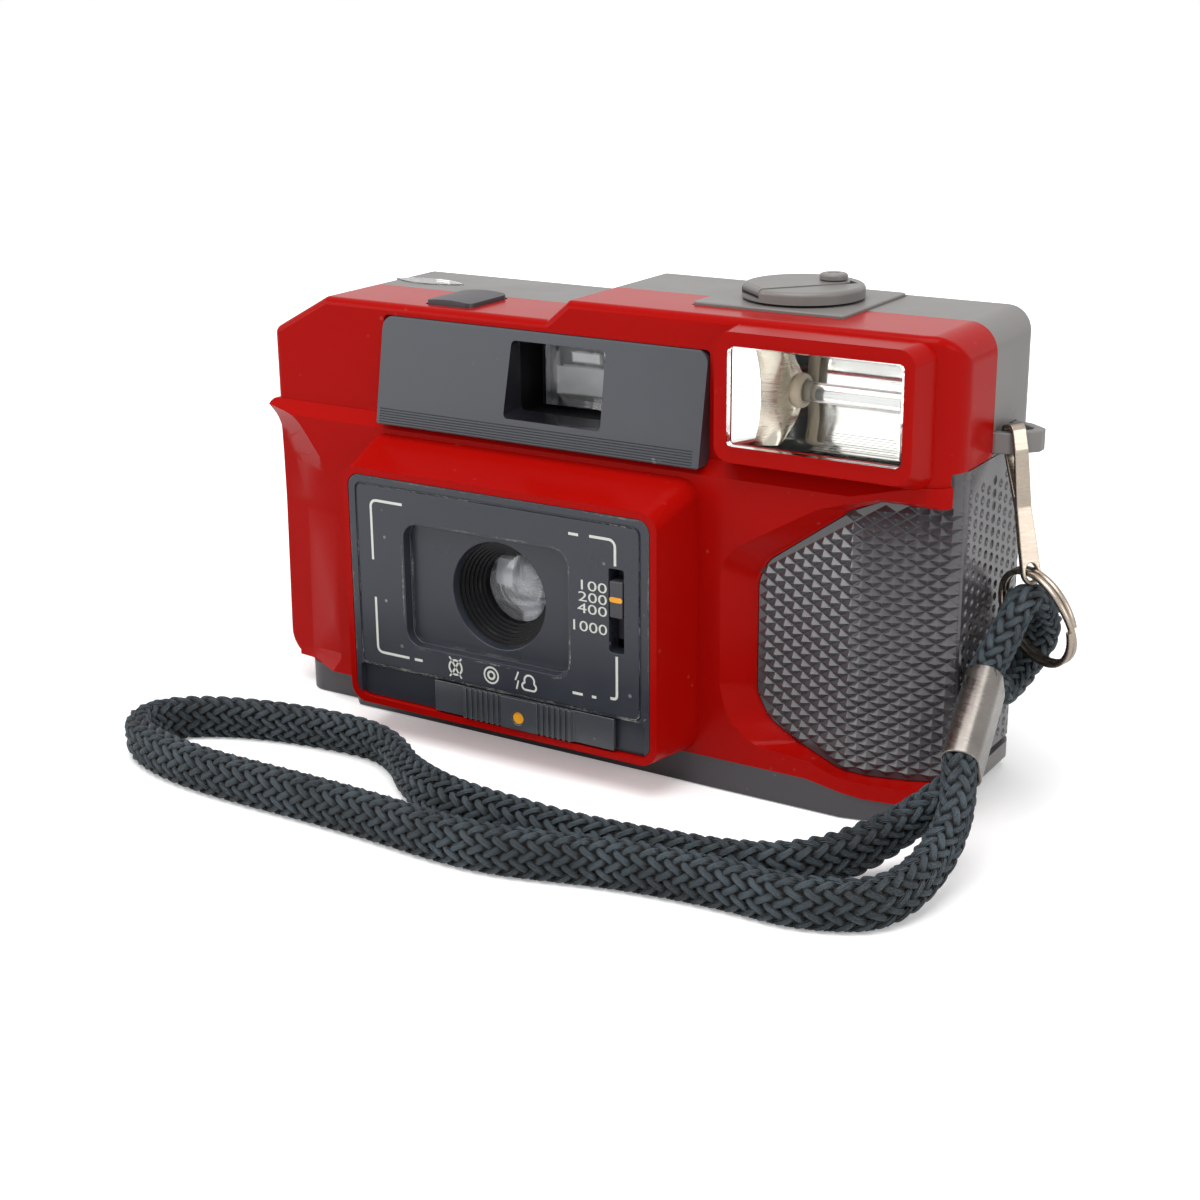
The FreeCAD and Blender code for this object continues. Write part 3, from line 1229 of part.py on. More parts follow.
def door_latch():
    """Ribbed slide on the back that holds the door by its catch."""
    left, right, low, high = latch_neck_left_x, latch_neck_right_x, latch_neck_low_z, latch_neck_high_z
    knob = box(left - 1.5, right + 1.5, back_y + part_gap, back_y + latch_proud, low - 3.0, high + 3.0)
    for i in range(5):
        z = low - 1.8 + 1.8 * i
        knob = knob.cut(box(left - 2, right + 2, back_y + latch_proud - 0.5, back_y + latch_proud + 1, z, z + 0.8))
    neck = box(left, right, back_y - wall - 0.4, back_y + 0.3, low, high)
    hook = box(latch_hook_x, right, back_y - wall - 1.2, back_y - wall - 0.3, low, high)
    return join([knob, neck, hook])


def latch_slot():
    gap = 2 * part_gap
    return box(latch_neck_left_x - gap, latch_neck_right_x + gap, back_y - wall - 1, back_y + 1,
               latch_neck_low_z - gap - latch_travel, latch_neck_high_z + gap)


def battery_door():
    """Tray-shaped door under the battery room; its side closes the lower right corner."""
    plan = [(battery_left_x, battery_front_y), (60.0, battery_front_y), (60.0, 0.4), (right_x, 0.4),
            (right_x, back_y - 0.3), (battery_left_x, back_y - 0.3)]
    tray = prism_z(plan, [0, 0, 0, 0.6, rear_r - 0.3, 0], 0, battery_door_top)
    tray = tray.common(join([
        prism_y([(battery_left_x - 2, 0), (right_x, 0), (right_x, 10), (battery_left_x - 2, 10)],
                [0, 3.6, 0, 0],
                -20, 20)]))
    hollow = box(battery_left_x + 3.4, 58.6, battery_front_y + 1.4, 14.9, 1.8, 20)
    step = box(battery_left_x - 1, 60.4, -20, 16.4, 2.6, 20)
    tray = tray.cut(hollow).cut(step)
    knuckle = prism_y([(battery_left_x - 1, -1), (battery_left_x + 4, -1), (battery_left_x + 4, 5),
                       (battery_left_x - 1, 5)], 0, -20, 20)
    left = tray.common(knuckle).common(rod(V(battery_hinge_x, -20, battery_hinge_z), V(0, 1, 0), 1.4, 40).fuse(
        box(battery_hinge_x, 60, -20, 20, 0, 10)))
    body = join([left, tray.cut(knuckle)])
    return body.cut(rod(V(battery_hinge_x, -20, battery_hinge_z), V(0, 1, 0), battery_pin_r + run_gap, 60))


def battery_door_pin():
    return rod(V(battery_hinge_x, battery_front_y - move_gap - 1.2, battery_hinge_z), V(0, 1, 0), battery_pin_r,
               back_y - 1.2 - battery_front_y + move_gap + 1.2)


def battery_holder():
    """Plastic cage for two upright cells, round in front and open behind."""
    rear_y = cell_front_y + cell_pitch + cell_r + 0.4

    def cage(grow, z0, z1):
        r = cell_r + grow
        return join([rod_z(cell_x, cell_front_y, r, z0, z1),
                     box(cell_x - r, cell_x + r, cell_front_y, rear_y, z0, z1)])

    body = cage(1.5, battery_door_top + 0.6, 53.6)
    body = body.cut(cage(move_gap, 0, 52.6))
    body = body.cut(box(cell_x - cell_r, cell_x + cell_r, rear_y - 1, rear_y + 1, 0, 52.6))
    return body.cut(box(cell_x - 3.0, cell_x + 3.0, cell_front_y - 10, cell_front_y, 14, 44))


def battery_cells():
    cells = []
    for i in range(2):
        y = cell_front_y + cell_pitch * i
        can = rod_z(cell_x, y, cell_r, cell_low_z, cell_low_z + cell_length - 1.0)
        nub = rod_z(cell_x, y, 1.9, cell_low_z + cell_length - 1.5, cell_low_z + cell_length)
        cell = join([can, nub])
        if i == 1:
            cell.rotate(V(cell_x, y, cell_low_z + cell_length / 2), V(1, 0, 0), 180)
        cells.append(cell)
    return Part.makeCompound(cells)


def battery_contacts():
    plates = []
    for i in range(2):
        y = cell_front_y + cell_pitch * i
        plates.append(box(cell_x - 4, cell_x + 4, y - 4, y + 4, 52.1, 52.5))
    return Part.makeCompound(plates)


def door_contact():
    """Strip on the battery door that joins the two cells."""
    return box(cell_x - 3.5, cell_x + 3.5, cell_front_y - 4.0, cell_front_y + cell_pitch + 3.6, 1.8, 2.3)


def rewind_release():
    """Button in the base that frees the sprocket for rewinding."""
    cap = rod_z(sprocket_x, sprocket_y, 2.2, 0.35, 3.4)
    flange = rod_z(sprocket_x, sprocket_y, 3.0, 1.75, 2.6)
    return join([cap, flange])


def lug_seat_plan():
    return [(61.0, -0.2), (64.5, -0.2), (64.5, 9.3), (61.0, 9.3)]


def strap_lug():
    """Moulded loop on the right side with an upright eye."""
    outer = [(62.4, 0.0), (64.3, 0.0), (66.3, 0.5), (69.8, 4.3), (69.8, 6.4), (66.9, 8.6), (64.3, 9.1),
             (62.4, 9.1)]
    inner = [(63.2, 1.3), (65.5, 1.8), (68.1, 4.8), (68.1, 5.9), (66.2, 7.2), (63.2, 7.8)]
    loop = prism_z(outer, [0, 0, 1, 1, 1, 1, 0, 0], lug_low_z, lug_high_z)
    eye = prism_z(inner, 0.4, lug_low_z - 1, lug_high_z + 1)
    return loop.cut(eye)


def placed(shape, origin, down, across):
    """Moves a shape drawn with -Z down and X across to its place on the strap chain."""
    z = V(down) * -1
    z.normalize()
    x = across - z * across.dot(z)
    x.normalize()
    y = z.cross(x)
    moved = shape.copy()
    moved.Placement = FreeCAD.Placement(FreeCAD.Matrix(
        x.x, y.x, z.x, origin.x, x.y, y.y, z.y, origin.y, x.z, y.z, z.z, origin.z, 0, 0, 0, 1))
    return moved


def strap_clip():
    """Metal strip folded over the lug, its two legs closing to one at the foot."""
    long = (clip_foot - clip_top).Length
    m = clip_metal
    gape = 1.35
    outer = [(-gape - m, -1.5), (-gape - m, -4.0), (-m, -12.5), (-m, -long), (m, -long), (m, -12.5),
             (gape + m, -4.0), (gape + m, -1.5), (gape + m, 0.0), (-gape - m, 0.0)]
    inner = [(-gape, -1.5), (-gape, -4.0), (0.0, -11.0), (gape, -4.0), (gape, -1.5), (gape, -m), (-gape, -m)]

    def slab(points, radii):
        wire = rounded_wire(points, radii, lambda p: V(-clip_foot_width / 2, p.x, p.y))
        return Part.Face(wire).extrude(V(clip_foot_width, 0, 0))

    strip = slab(outer, [0, 2, 3, 0, 0, 3, 2, 0, 1.3, 1.3]).cut(slab(inner, [0, 0.6, 0, 0.6, 0, 0.8, 0.8]))
    top, foot = clip_width / 2, clip_foot_width / 2
    face = prism_y([(-top, 1), (-top, -2), (-foot, -long * 0.75), (-foot, -long), (foot, -long),
                    (foot, -long * 0.75),
                    (top, -2), (top, 1)], [0, 4, 4, foot - 0.1, foot - 0.1, 4, 4, 0], -5, 5)
    strip = strip.common(face).cut(rod(V(0, -5, clip_hole_up - long), V(0, 1, 0), clip_hole_r, 10))
    return placed(strip, clip_top, clip_foot - clip_top, V(0.67, 0.74, 0))


def split_ring():
    axis = V(ring_axis)
    axis.normalize()
    base = ring_centre - axis * (ring_width / 2)
    ring = rod(base, axis, ring_inner_r + ring_wire, ring_width).cut(
        rod(base - axis, axis, ring_inner_r, ring_width + 2))
    return ring.makeFillet(ring_wire * 0.4, ring.Edges)


def ferrule_frame():
    along = ferrule_foot - ferrule_top
    along.normalize()
    wide = V(0, 0, 1) - along * along.z
    wide.normalize()
    return along, wide


def strap_ferrule():
    """Crimped oval tube that holds the ends of the braid."""
    long = (ferrule_foot - ferrule_top).Length
    along, wide = ferrule_frame()

    def oval(inset, z0, z1):
        w, t = ferrule_wide / 2 - inset, ferrule_thin / 2 - inset
        wire = rounded_wire([(-w, -t), (w, -t), (w, t), (-w, t)], t * 0.9, lambda p: V(p.x, p.y, z0))
        return Part.Face(wire).extrude(V(0, 0, z1 - z0))

    tube = oval(0, -long, 0).cut(oval(ferrule_metal, -long - 1, 1))
    return placed(tube, ferrule_top, along, wide)


def tube_along(points, diameter, name):
    """Straight runs joined by tangent arcs, swept by a round section."""
    points = [V(*p) for p in points]
    edges, here, radii = [], points[0], []
    for i in range(1, len(points) - 1):
        a, b, c = points[i - 1], points[i], points[i + 1]
        back, ahead = a - b, c - b
        short = min(back.Length, ahead.Length)
        back.normalize()
        ahead.normalize()
        turn = math.pi - back.getAngle(ahead)
        r = 0.45 * short / math.tan(turn / 2)
        radii.append(r)
        run = 0.45 * short
        middle = back + ahead
        middle.normalize()
        peak = b + middle * (r / math.cos(turn / 2) - r)
        edges.append(Part.LineSegment(here, b + back * run).toShape())
        edges.append(Part.Arc(b + back * run, peak, b + ahead * run).toShape())
        here = b + ahead * run
    edges.append(Part.LineSegment(here, points[-1]).toShape())
    path = Part.Wire(edges)
    start = Part.Wire(Part.makeCircle(diameter / 2, points[0], points[1] - points[0]))
    tube = path.makePipeShell([start], True, False)
    share = tube.Volume / (path.Length * math.pi * diameter ** 2 / 4)
    print(name, "length", round(path.Length, 1), "volume share", round(share, 4),
          "least radius", round(min(radii), 1), "radii", [round(r, 1) for r in radii])
    return tube


def ferrule_end(at, side, out):
    """Point on a strand of the braid, measured out of the ferrule from one of its mouths."""
    along, wide = ferrule_frame()
    return tuple(at + wide * (cord_split * side) + along * out)


def wrist_cord():
    """Braid that leaves the ferrule, lies in a long loop on the table and returns."""
    h = cord_z
    route = [
        ferrule_end(ferrule_foot, 1, -2.5), ferrule_end(ferrule_foot, 1, 0.8), (72.6, -28.6, 11.5),
        (72.4, -33.5, 7.2), (71.4, -41.2, 4.4), (68.5, -47.6, h), (62.9, -50.8, h), (57.2, -52.4, h),
        (50.0, -52.2, h), (41.0, -53.0, h), (31.2, -54.7, h), (22.0, -57.5, h), (14.1, -59.8, h),
        (5.0, -60.4, h), (-6.7, -59.6, h), (-19.6, -59.3, h), (-31.5, -59.5, h), (-43.2, -59.4, h),
        (-53.8, -57.7, h), (-62.2, -54.0, 3.3), (-64.4, -48.0, 3.0), (-60.6, -42.8, 3.0), (-52.1, -38.5, 3.0),
        (-42.1, -36.0, 3.0), (-32.0, -35.0, 3.0), (-25.2, -35.3, 3.0), (-19.2, -38.2, 3.0), (-12.7, -44.0, 3.2),
        (-4.8, -48.3, 3.4), (2.7, -49.9, h), (11.1, -50.3, h), (19.5, -50.8, h), (28.5, -50.1, h),
        (37.7, -48.7, h), (45.8, -47.2, h), (53.4, -43.4, h), (58.8, -37.4, 4.2), (63.1, -31.9, 6.2),
        (67.0, -27.0, 9.4), ferrule_end(ferrule_foot, -1, 0.8), ferrule_end(ferrule_foot, -1, -2.5)]
    return tube_along(route, cord_d, "wrist_cord")


def ring_loop_cord():
    """Short doubled end of the braid that passes through the split ring."""
    route = [
        ferrule_end(ferrule_top, 1, 2.5), ferrule_end(ferrule_top, 1, -0.8), (69.3, -5.2, 29.0),
        (70.0, -0.6, 33.7),
        (70.1, 3.6, 33.2), (70.0, 7.7, 29.3), (68.8, 9.2, 24.8), (67.4, 5.6, 20.6), (67.3, -1.2, 19.4),
        ferrule_end(ferrule_top, -1, -0.8), ferrule_end(ferrule_top, -1, 2.5)]
    return tube_along(route, cord_d, "ring_loop_cord")


NODES = {
    "front_cover": front_cover,
    "rear_cover": lambda: rear_cover().cut(latch_slot()),
    "bottom_cover": lambda: bottom_cover().cut(rod_z(sprocket_x, sprocket_y, 2.2 + move_gap, -1, 3)),
    "film_chassis": film_chassis,
    "cartridge_chamber": cartridge_chamber,
    "light_seals": light_seals,
    "grip_panel": grip_panel,
    "viewfinder_bezel": viewfinder_bezel,
    "viewfinder_tunnel": viewfinder_tunnel,
    "viewfinder_front_lens": viewfinder_front_lens,
    "viewfinder_eyepiece": viewfinder_eyepiece,
    "ready_lamp": ready_lamp,
    "lens_plate": lens_plate,
    "lens_barrel": lens_barrel,
    "front_lens": front_lens,
    "lens_retainer": lens_retainer,
    "rear_lens": rear_lens,
    "aperture_slider": aperture_slider,
    "speed_slider": speed_slider,
    "shutter_plate": shutter_plate,
    "shutter_blade": shutter_blade,
    "shutter_button": shutter_button,
    "button_spring": button_spring,
    "flash_window": flash_window,
    "flash_reflector": flash_reflector,
    "flash_tube": flash_tube,
    "flash_capacitor": flash_capacitor,
    "flash_board": flash_board,
    "rewind_plate": rewind_plate,
    "rewind_collar": rewind_collar,
    "rewind_shaft": rewind_shaft,
    "rewind_knob": rewind_knob,
    "crank_pin": crank_pin,
    "rewind_crank": rewind_crank,
    "crank_knob": crank_knob,
    "take_up_spool": take_up_spool,
    "advance_wheel": advance_wheel,
    "sprocket_drum": sprocket_drum,
    "counter_dial": counter_dial,
    "counter_window": counter_window,
    "back_door": back_door,
    "door_hinge_pin": door_hinge_pin,
    "pressure_plate": pressure_plate,
    "pressure_spring": pressure_spring,
    "door_latch": door_latch,
    "battery_holder": battery_holder,
    "battery_cells": battery_cells,
    "battery_contacts": battery_contacts,
    "battery_door": battery_door,
    "battery_door_pin": battery_door_pin,
    "door_contact": door_contact,
    "rewind_release": rewind_release,
    "tripod_socket": tripod_socket,
    "case_screws": case_screws,
    "strap_lug": strap_lug,
    "strap_clip": strap_clip,
    "split_ring": split_ring,
    "strap_ferrule": strap_ferrule,
    "wrist_cord": wrist_cord,
    "ring_loop_cord": ring_loop_cord,
}

os.makedirs("parts", exist_ok=True)
for name, make in NODES.items():
    shape = make()
    shape.exportStep(f"parts/{name}.step")
    print(name, "valid", shape.isValid(), "solids", len(shape.Solids), "volume", round(shape.Volume, 1))
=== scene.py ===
import json
import math

import bmesh
import bpy
import numpy as np
from mathutils import Matrix, Vector, kdtree


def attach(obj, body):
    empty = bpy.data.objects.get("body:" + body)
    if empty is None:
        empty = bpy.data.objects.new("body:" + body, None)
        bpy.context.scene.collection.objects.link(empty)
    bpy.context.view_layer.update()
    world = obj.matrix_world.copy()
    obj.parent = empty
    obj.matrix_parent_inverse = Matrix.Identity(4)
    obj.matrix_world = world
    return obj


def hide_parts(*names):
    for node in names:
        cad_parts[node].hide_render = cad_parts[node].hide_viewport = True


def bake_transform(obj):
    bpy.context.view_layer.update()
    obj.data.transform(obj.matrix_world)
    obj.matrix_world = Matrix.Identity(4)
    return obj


# Frame: metres, +X to the right seen from the front, the lens looks along -Y, +Z up.
# Lengths below are in millimetres unless a name says otherwise; MM turns them into metres.
MM = 0.001

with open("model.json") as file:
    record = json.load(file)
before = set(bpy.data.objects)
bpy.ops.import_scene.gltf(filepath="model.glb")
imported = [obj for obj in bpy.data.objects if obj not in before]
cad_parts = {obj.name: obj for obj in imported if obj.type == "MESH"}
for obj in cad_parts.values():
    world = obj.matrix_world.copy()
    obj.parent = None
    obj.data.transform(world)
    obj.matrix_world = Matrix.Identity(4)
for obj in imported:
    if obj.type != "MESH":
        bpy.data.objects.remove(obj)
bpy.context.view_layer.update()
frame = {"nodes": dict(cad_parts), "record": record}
BODY_OF = {node: body for body, nodes in frame["record"]["behaviour"]["bodies"].items() for node in nodes}
SLOT_OF = {row["node"]: row["material_slot"] for row in frame["record"]["subparts"]}


# Shader nodes

def feed(target, values):
    """Sets or links the inputs of a node."""
    for key, value in values.items():
        if isinstance(value, bpy.types.NodeSocket):
            target.id_data.links.new(value, target.inputs[key])
        else:
            target.inputs[key].default_value = value


def node(tree, kind, values=None, **settings):
    """One shader node, with its settings and its inputs."""
    made = tree.nodes.new("ShaderNode" + kind)
    for key, value in settings.items():
        setattr(made, key, value)
    feed(made, values or {})
    return made


def object_place(tree):
    return node(tree, "TexCoord").outputs["Object"]


def noise(tree, place, scale, detail, rough=0.5):
    values = {"Vector": place, "Scale": scale, "Detail": detail, "Roughness": rough}
    return node(tree, "TexNoise", values).outputs["Fac"]


def ramp(tree, value, low, high, start=0.0, end=1.0):
    """A value mapped from one range to another and kept inside it."""
    values = {"Value": value, "From Min": low, "From Max": high, "To Min": start, "To Max": end}
    return node(tree, "MapRange", values).outputs["Result"]


def reckon(tree, operation, *values):
    """Result of a math operation on up to three values."""
    return node(tree, "Math", dict(enumerate(values)), operation=operation).outputs[0]


def bump(tree, height, strength, distance, under=None):
    """Normal bent by a height; `under` is the normal that it starts from."""
    values = {"Height": height, "Strength": strength, "Distance": distance}
    if under is not None:
        values["Normal"] = under
    return node(tree, "Bump", values).outputs["Normal"]


def tint(tree, factor, low, high):
    """Colour between two colours by a factor."""
    low, high = (v if isinstance(v, bpy.types.NodeSocket) else (*v, 1.0) for v in (low, high))
    return node(tree, "Mix", {0: factor, 6: low, 7: high}, data_type="RGBA").outputs[2]


def group(name, inputs, outputs):
    """A shader node group with Float or Vector sockets; returns it with its in and out nodes."""
    tree = bpy.data.node_groups.new(name, "ShaderNodeTree")
    for label, kind, value in inputs:
        socket = tree.interface.new_socket(label, in_out="INPUT", socket_type="NodeSocket" + kind)
        if value is not None:
            socket.default_value = value
    for label, kind in outputs:
        tree.interface.new_socket(label, in_out="OUTPUT", socket_type="NodeSocket" + kind)
    return tree, tree.nodes.new("NodeGroupInput"), tree.nodes.new("NodeGroupOutput")


def moulded_group():
    """Moulded plastic: fine grain for the bump, broad cloudiness and small pale specks of dust."""
    tree, start, end = group(
        "moulded",
        [("Grain", "Float", 900.0), ("Depth", "Float", 0.2), ("Dust", "Float", 0.3)],
        [("Cloud", "Float"), ("Specks", "Float"), ("Normal", "Vector")])
    grain, depth, dust = start.outputs[:3]
    place = object_place(tree)
    cells = node(tree, "TexVoronoi", {"Vector": place, "Scale": 420.0, "Randomness": 1.0})
    near = ramp(tree, cells.outputs["Distance"], 0.09, 0.17, 1.0, 0.0)
    rare = ramp(tree, noise(tree, place, 150.0, 2.0), 0.6, 0.68)
    feed(end, {"Cloud": noise(tree, place, 55.0, 4.0, 0.65),
               "Specks": reckon(tree, "MULTIPLY", reckon(tree, "MULTIPLY", near, rare), dust),
               "Normal": bump(tree, noise(tree, place, grain, 3.0, 0.6), depth, 0.00008)})
    return tree


def zone_group():
    """Mask of a box in object space: smallest distance to its sides over the softness, from 0 to 1."""
    tree, start, end = group(
        "zone",
        [("Place", "Vector", None), ("Low", "Vector", None), ("High", "Vector", None),
         ("Soft", "Float", 0.0005)],
        [("Mask", "Float")])
    place, low, high, soft = start.outputs[:4]
    above = node(tree, "VectorMath", {0: place, 1: low}, operation="SUBTRACT").outputs[0]
    below = node(tree, "VectorMath", {0: high, 1: place}, operation="SUBTRACT").outputs[0]
    least = node(tree, "VectorMath", {0: above, 1: below}, operation="MINIMUM").outputs[0]
    x, y, z = node(tree, "SeparateXYZ", {"Vector": least}).outputs
    inner = reckon(tree, "MINIMUM", reckon(tree, "MINIMUM", x, y), z)
    share = node(tree, "Math", {0: inner, 1: soft}, operation="DIVIDE", use_clamp=True)
    feed(end, {"Mask": share.outputs[0]})
    return tree


MOULDED = moulded_group()
ZONE = zone_group()


def zone(tree, place, low, high, soft):
    """Mask of a box given in millimetres."""
    values = {"Place": place, "Low": [v * MM for v in low], "High": [v * MM for v in high], "Soft": soft * MM}
    return node(tree, "Group", values, node_tree=ZONE).outputs["Mask"]


# Materials

def shader(name, **constants):
    """A material with a Principled shader whose constant values sit on its own sockets."""
    made = bpy.data.materials.new(name)
    made.use_nodes = True
    main = made.node_tree.nodes["Principled BSDF"]
    feed(main, {key.replace("_", " "): value for key, value in constants.items()})
    return made, made.node_tree, main


def plastic(name, dark, light, rough, grain=900.0, depth=0.2, dust=0.3, spread=0.06, **constants):
    """Moulded plastic with cloudy colour, grain in its bump and a little dust."""
    made, tree, main = shader(name, **constants)
    looks = node(tree, "Group", {"Grain": grain, "Depth": depth, "Dust": dust}, node_tree=MOULDED).outputs
    cloudy = tint(tree, looks["Cloud"], dark, light)
    feed(main, {"Base Color": tint(tree, looks["Specks"], cloudy, (0.5, 0.47, 0.43)),
                "Roughness": ramp(tree, looks["Cloud"], 0.3, 0.7, rough - spread, rough + spread),
                "Normal": looks["Normal"]})
    return made


def metal(name, dark, light, rough, depth=0.12, spread=0.08):
    """Bare metal with fine drawn lines across its length, faint stains and uneven gloss."""
    made, tree, main = shader(name, Metallic=1.0)
    place = object_place(tree)
    drawn = node(tree, "Mapping", {"Vector": place, "Scale": (1.0, 1.0, 12.0)}).outputs[0]
    lines = noise(tree, drawn, 260.0, 4.0, 0.7)
    feed(main, {"Base Color": tint(tree, noise(tree, place, 130.0, 4.0, 0.6), dark, light),
                "Roughness": ramp(tree, lines, 0.3, 0.7, rough - spread, rough + spread),
                "Normal": bump(tree, lines, depth, 0.00005)})
    return made


def clear(name, tone, rough, ior=1.5, depth=0.02, **constants):
    """Clear plastic or glass with faint smears in its gloss."""
    made, tree, main = shader(name, IOR=ior, Transmission_Weight=1.0, **constants)
    smear = noise(tree, object_place(tree), 240.0, 5.0, 0.6)
    feed(main, {"Base Color": tint(tree, smear, tone, tuple(min(1, v * 1.06) for v in tone)),
                "Roughness": ramp(tree, smear, 0.45, 0.8, rough, rough + 0.12),
                "Normal": bump(tree, smear, depth, 0.00005)})
    return made


def yarn_look(name, dark, light):
    """Twisted yarn: u runs along it in millimetres and v across it; plies and fibres lie at a slant."""
    made, tree, main = shader(name, Sheen_Weight=0.06, Sheen_Roughness=0.5, Specular_IOR_Level=0.5,
                              Roughness=0.48)
    uv = node(tree, "UVMap", uv_map="yarn").outputs["UV"]

    def slanted(along, across):
        values = {"Vector": uv, "Rotation": (0, 0, math.radians(12)), "Scale": (along, across, 1)}
        return node(tree, "Mapping", values).outputs[0]

    waves = {"Vector": slanted(0.9, 4.6), "Scale": 0.5, "Distortion": 0.7, "Detail": 1.5, "Detail Scale": 1.2}
    plies = node(tree, "TexWave", waves, bands_direction="Y").outputs["Fac"]
    fibre = noise(tree, slanted(1.6, 14.0), 1.5, 4.0, 0.7)
    patch = noise(tree, object_place(tree), 120.0, 3.0)
    height = node(tree, "Attribute", attribute_name="height").outputs["Fac"]
    shade = reckon(tree, "MULTIPLY_ADD", plies, 0.5, reckon(tree, "ADD", fibre, patch))
    colour = tint(tree, ramp(tree, shade, 0.95, 1.5), dark, light)
    # Painted shade: where the height attribute is low, where yarns pass under others and on the core, the
    # colour goes down to 0.15 of the dark yarn colour.
    painted_shade_tone = tuple(v * 0.15 for v in dark)
    coarse = bump(tree, plies, 1.0, 0.00035)
    feed(main, {"Base Color": tint(tree, ramp(tree, height, 0.32, 1.0), painted_shade_tone, colour),
                "Normal": bump(tree, fibre, 0.6, 0.00012, coarse)})
    return made


def dust_look(name, tone, low, high):
    """Fine dust that lies in broken lines: clear where its noise is under a level."""
    made, tree, main = shader(name, Roughness=0.8)
    place = object_place(tree)
    broad = noise(tree, place, 170.0, 2.0)
    both = reckon(tree, "MULTIPLY", noise(tree, place, 1900.0, 4.0, 0.8), broad)
    feed(main, {"Alpha": ramp(tree, both, low, high),
                "Base Color": tint(tree, broad, tone, tuple(v * 0.7 for v in tone))})
    return made


def glass_with_painted_reflection(name, zones, tone, ior, gloss):
    """Coated glass with painted reflections: paler and less clear inside some boxes that are given by low
    corner, high corner and strength.
    """
    made = clear(name, (0.93, 0.95, 1.0), 0.02, ior=ior, Specular_IOR_Level=gloss)
    tree = made.node_tree
    main = tree.nodes["Principled BSDF"]
    place = object_place(tree)
    total = 0.0
    for low, high, strength in zones:
        part = reckon(tree, "MULTIPLY", zone(tree, place, low, high, 0.4), strength)
        total = reckon(tree, "MAXIMUM", total, part)
    uneven = ramp(tree, noise(tree, place, 320.0, 4.0), 0.3, 0.7, 0.85, 1.0)
    # The painted reflection, broken up by noise.
    painted_reflection = reckon(tree, "MULTIPLY", total, uneven)
    colour = main.inputs["Base Color"].links[0].from_socket
    feed(main, {"Transmission Weight": reckon(tree, "SUBTRACT", 0.97, painted_reflection),
                "Base Color": tint(tree, painted_reflection, colour, tone)})
    return made


def paint_shade_in_mouth(look, low, high, tone, rough):
    """Gives a moulded look a darker colour, painted shade, and another gloss on the walls of an opening:
    inside a box, where the surface turns away from the front."""
    tree = look.node_tree
    main = tree.nodes["Principled BSDF"]
    place = node(tree, "TexCoord").outputs
    inside = zone(tree, place["Object"], low, high, 0.05)
    way = node(tree, "SeparateXYZ", {"Vector": place["Normal"]}).outputs["Y"]
    # The mask picks the opening's walls that get the painted shade.
    shade_mask = reckon(tree, "MULTIPLY", inside, ramp(tree, way, -0.8, -0.6))
    colour, gloss = (main.inputs[key].links[0].from_socket for key in ("Base Color", "Roughness"))
    mixed = node(tree, "Mix", {0: shade_mask, 2: gloss, 3: rough}, data_type="FLOAT").outputs[0]
    feed(main, {"Base Color": tint(tree, shade_mask, colour, tone), "Roughness": mixed})


LOOKS = {
    "red_shell": plastic("red gloss", (0.31, 0.0026, 0.0015), (0.345, 0.0034, 0.002), 0.2, grain=300,
                         depth=0.01, dust=0.06, spread=0.03, Specular_IOR_Level=0.25, IOR=1.2),
    "grey_shell": plastic("grey shell", (0.145, 0.137, 0.13), (0.175, 0.166, 0.158), 0.42, depth=0.06,
                          dust=0.1),
    "black_shell": plastic("black shell", (0.035, 0.033, 0.038), (0.05, 0.047, 0.053), 0.45, depth=0.1,
                           dust=0.12),
    "grip_grey": plastic("grip grey", (0.036, 0.033, 0.038), (0.056, 0.052, 0.058), 0.26, depth=0.04,
                         dust=0.12, Specular_IOR_Level=0.9),
    "bezel_black": plastic("bezel satin", (0.035, 0.039, 0.047), (0.05, 0.055, 0.064), 0.42, grain=1400,
                           depth=0.12, dust=0.22),
    "plate_black": plastic("plate gloss", (0.017, 0.02, 0.029), (0.029, 0.033, 0.043), 0.3, grain=1200,
                           depth=0.08, dust=0.55),
    "inner_black": plastic("inner black", (0.004, 0.004, 0.005), (0.009, 0.009, 0.01), 0.42, depth=0.1,
                           dust=0.15, Specular_IOR_Level=0.3),
    "clear": clear("clear lens", (0.96, 0.97, 0.98), 0.01),
    "bright_metal": metal("reflector", (0.88, 0.88, 0.86), (0.95, 0.95, 0.93), 0.1, depth=0.02, spread=0.04),
    "steel": metal("nickel steel", (0.3, 0.25, 0.2), (0.44, 0.38, 0.32), 0.3),
    "spring_steel": metal("spring steel", (0.45, 0.45, 0.45), (0.55, 0.55, 0.54), 0.3),
    "brass": metal("brass", (0.6, 0.45, 0.2), (0.72, 0.56, 0.27), 0.3),
    "foam": plastic("foam", (0.012, 0.012, 0.012), (0.03, 0.03, 0.03), 0.9, grain=2600, depth=0.4, dust=0.2),
    "cell": plastic("cell wrap", (0.18, 0.2, 0.22), (0.24, 0.26, 0.28), 0.3, dust=0.05),
    "board": plastic("board", (0.28, 0.17, 0.07), (0.34, 0.21, 0.09), 0.5, dust=0.2),
    "dial_white": plastic("dial white", (0.7, 0.7, 0.66), (0.78, 0.78, 0.74), 0.5, depth=0.1, dust=0.1),
    "braid": yarn_look("braid yarn", (0.006, 0.01, 0.014), (0.125, 0.178, 0.215)),
}
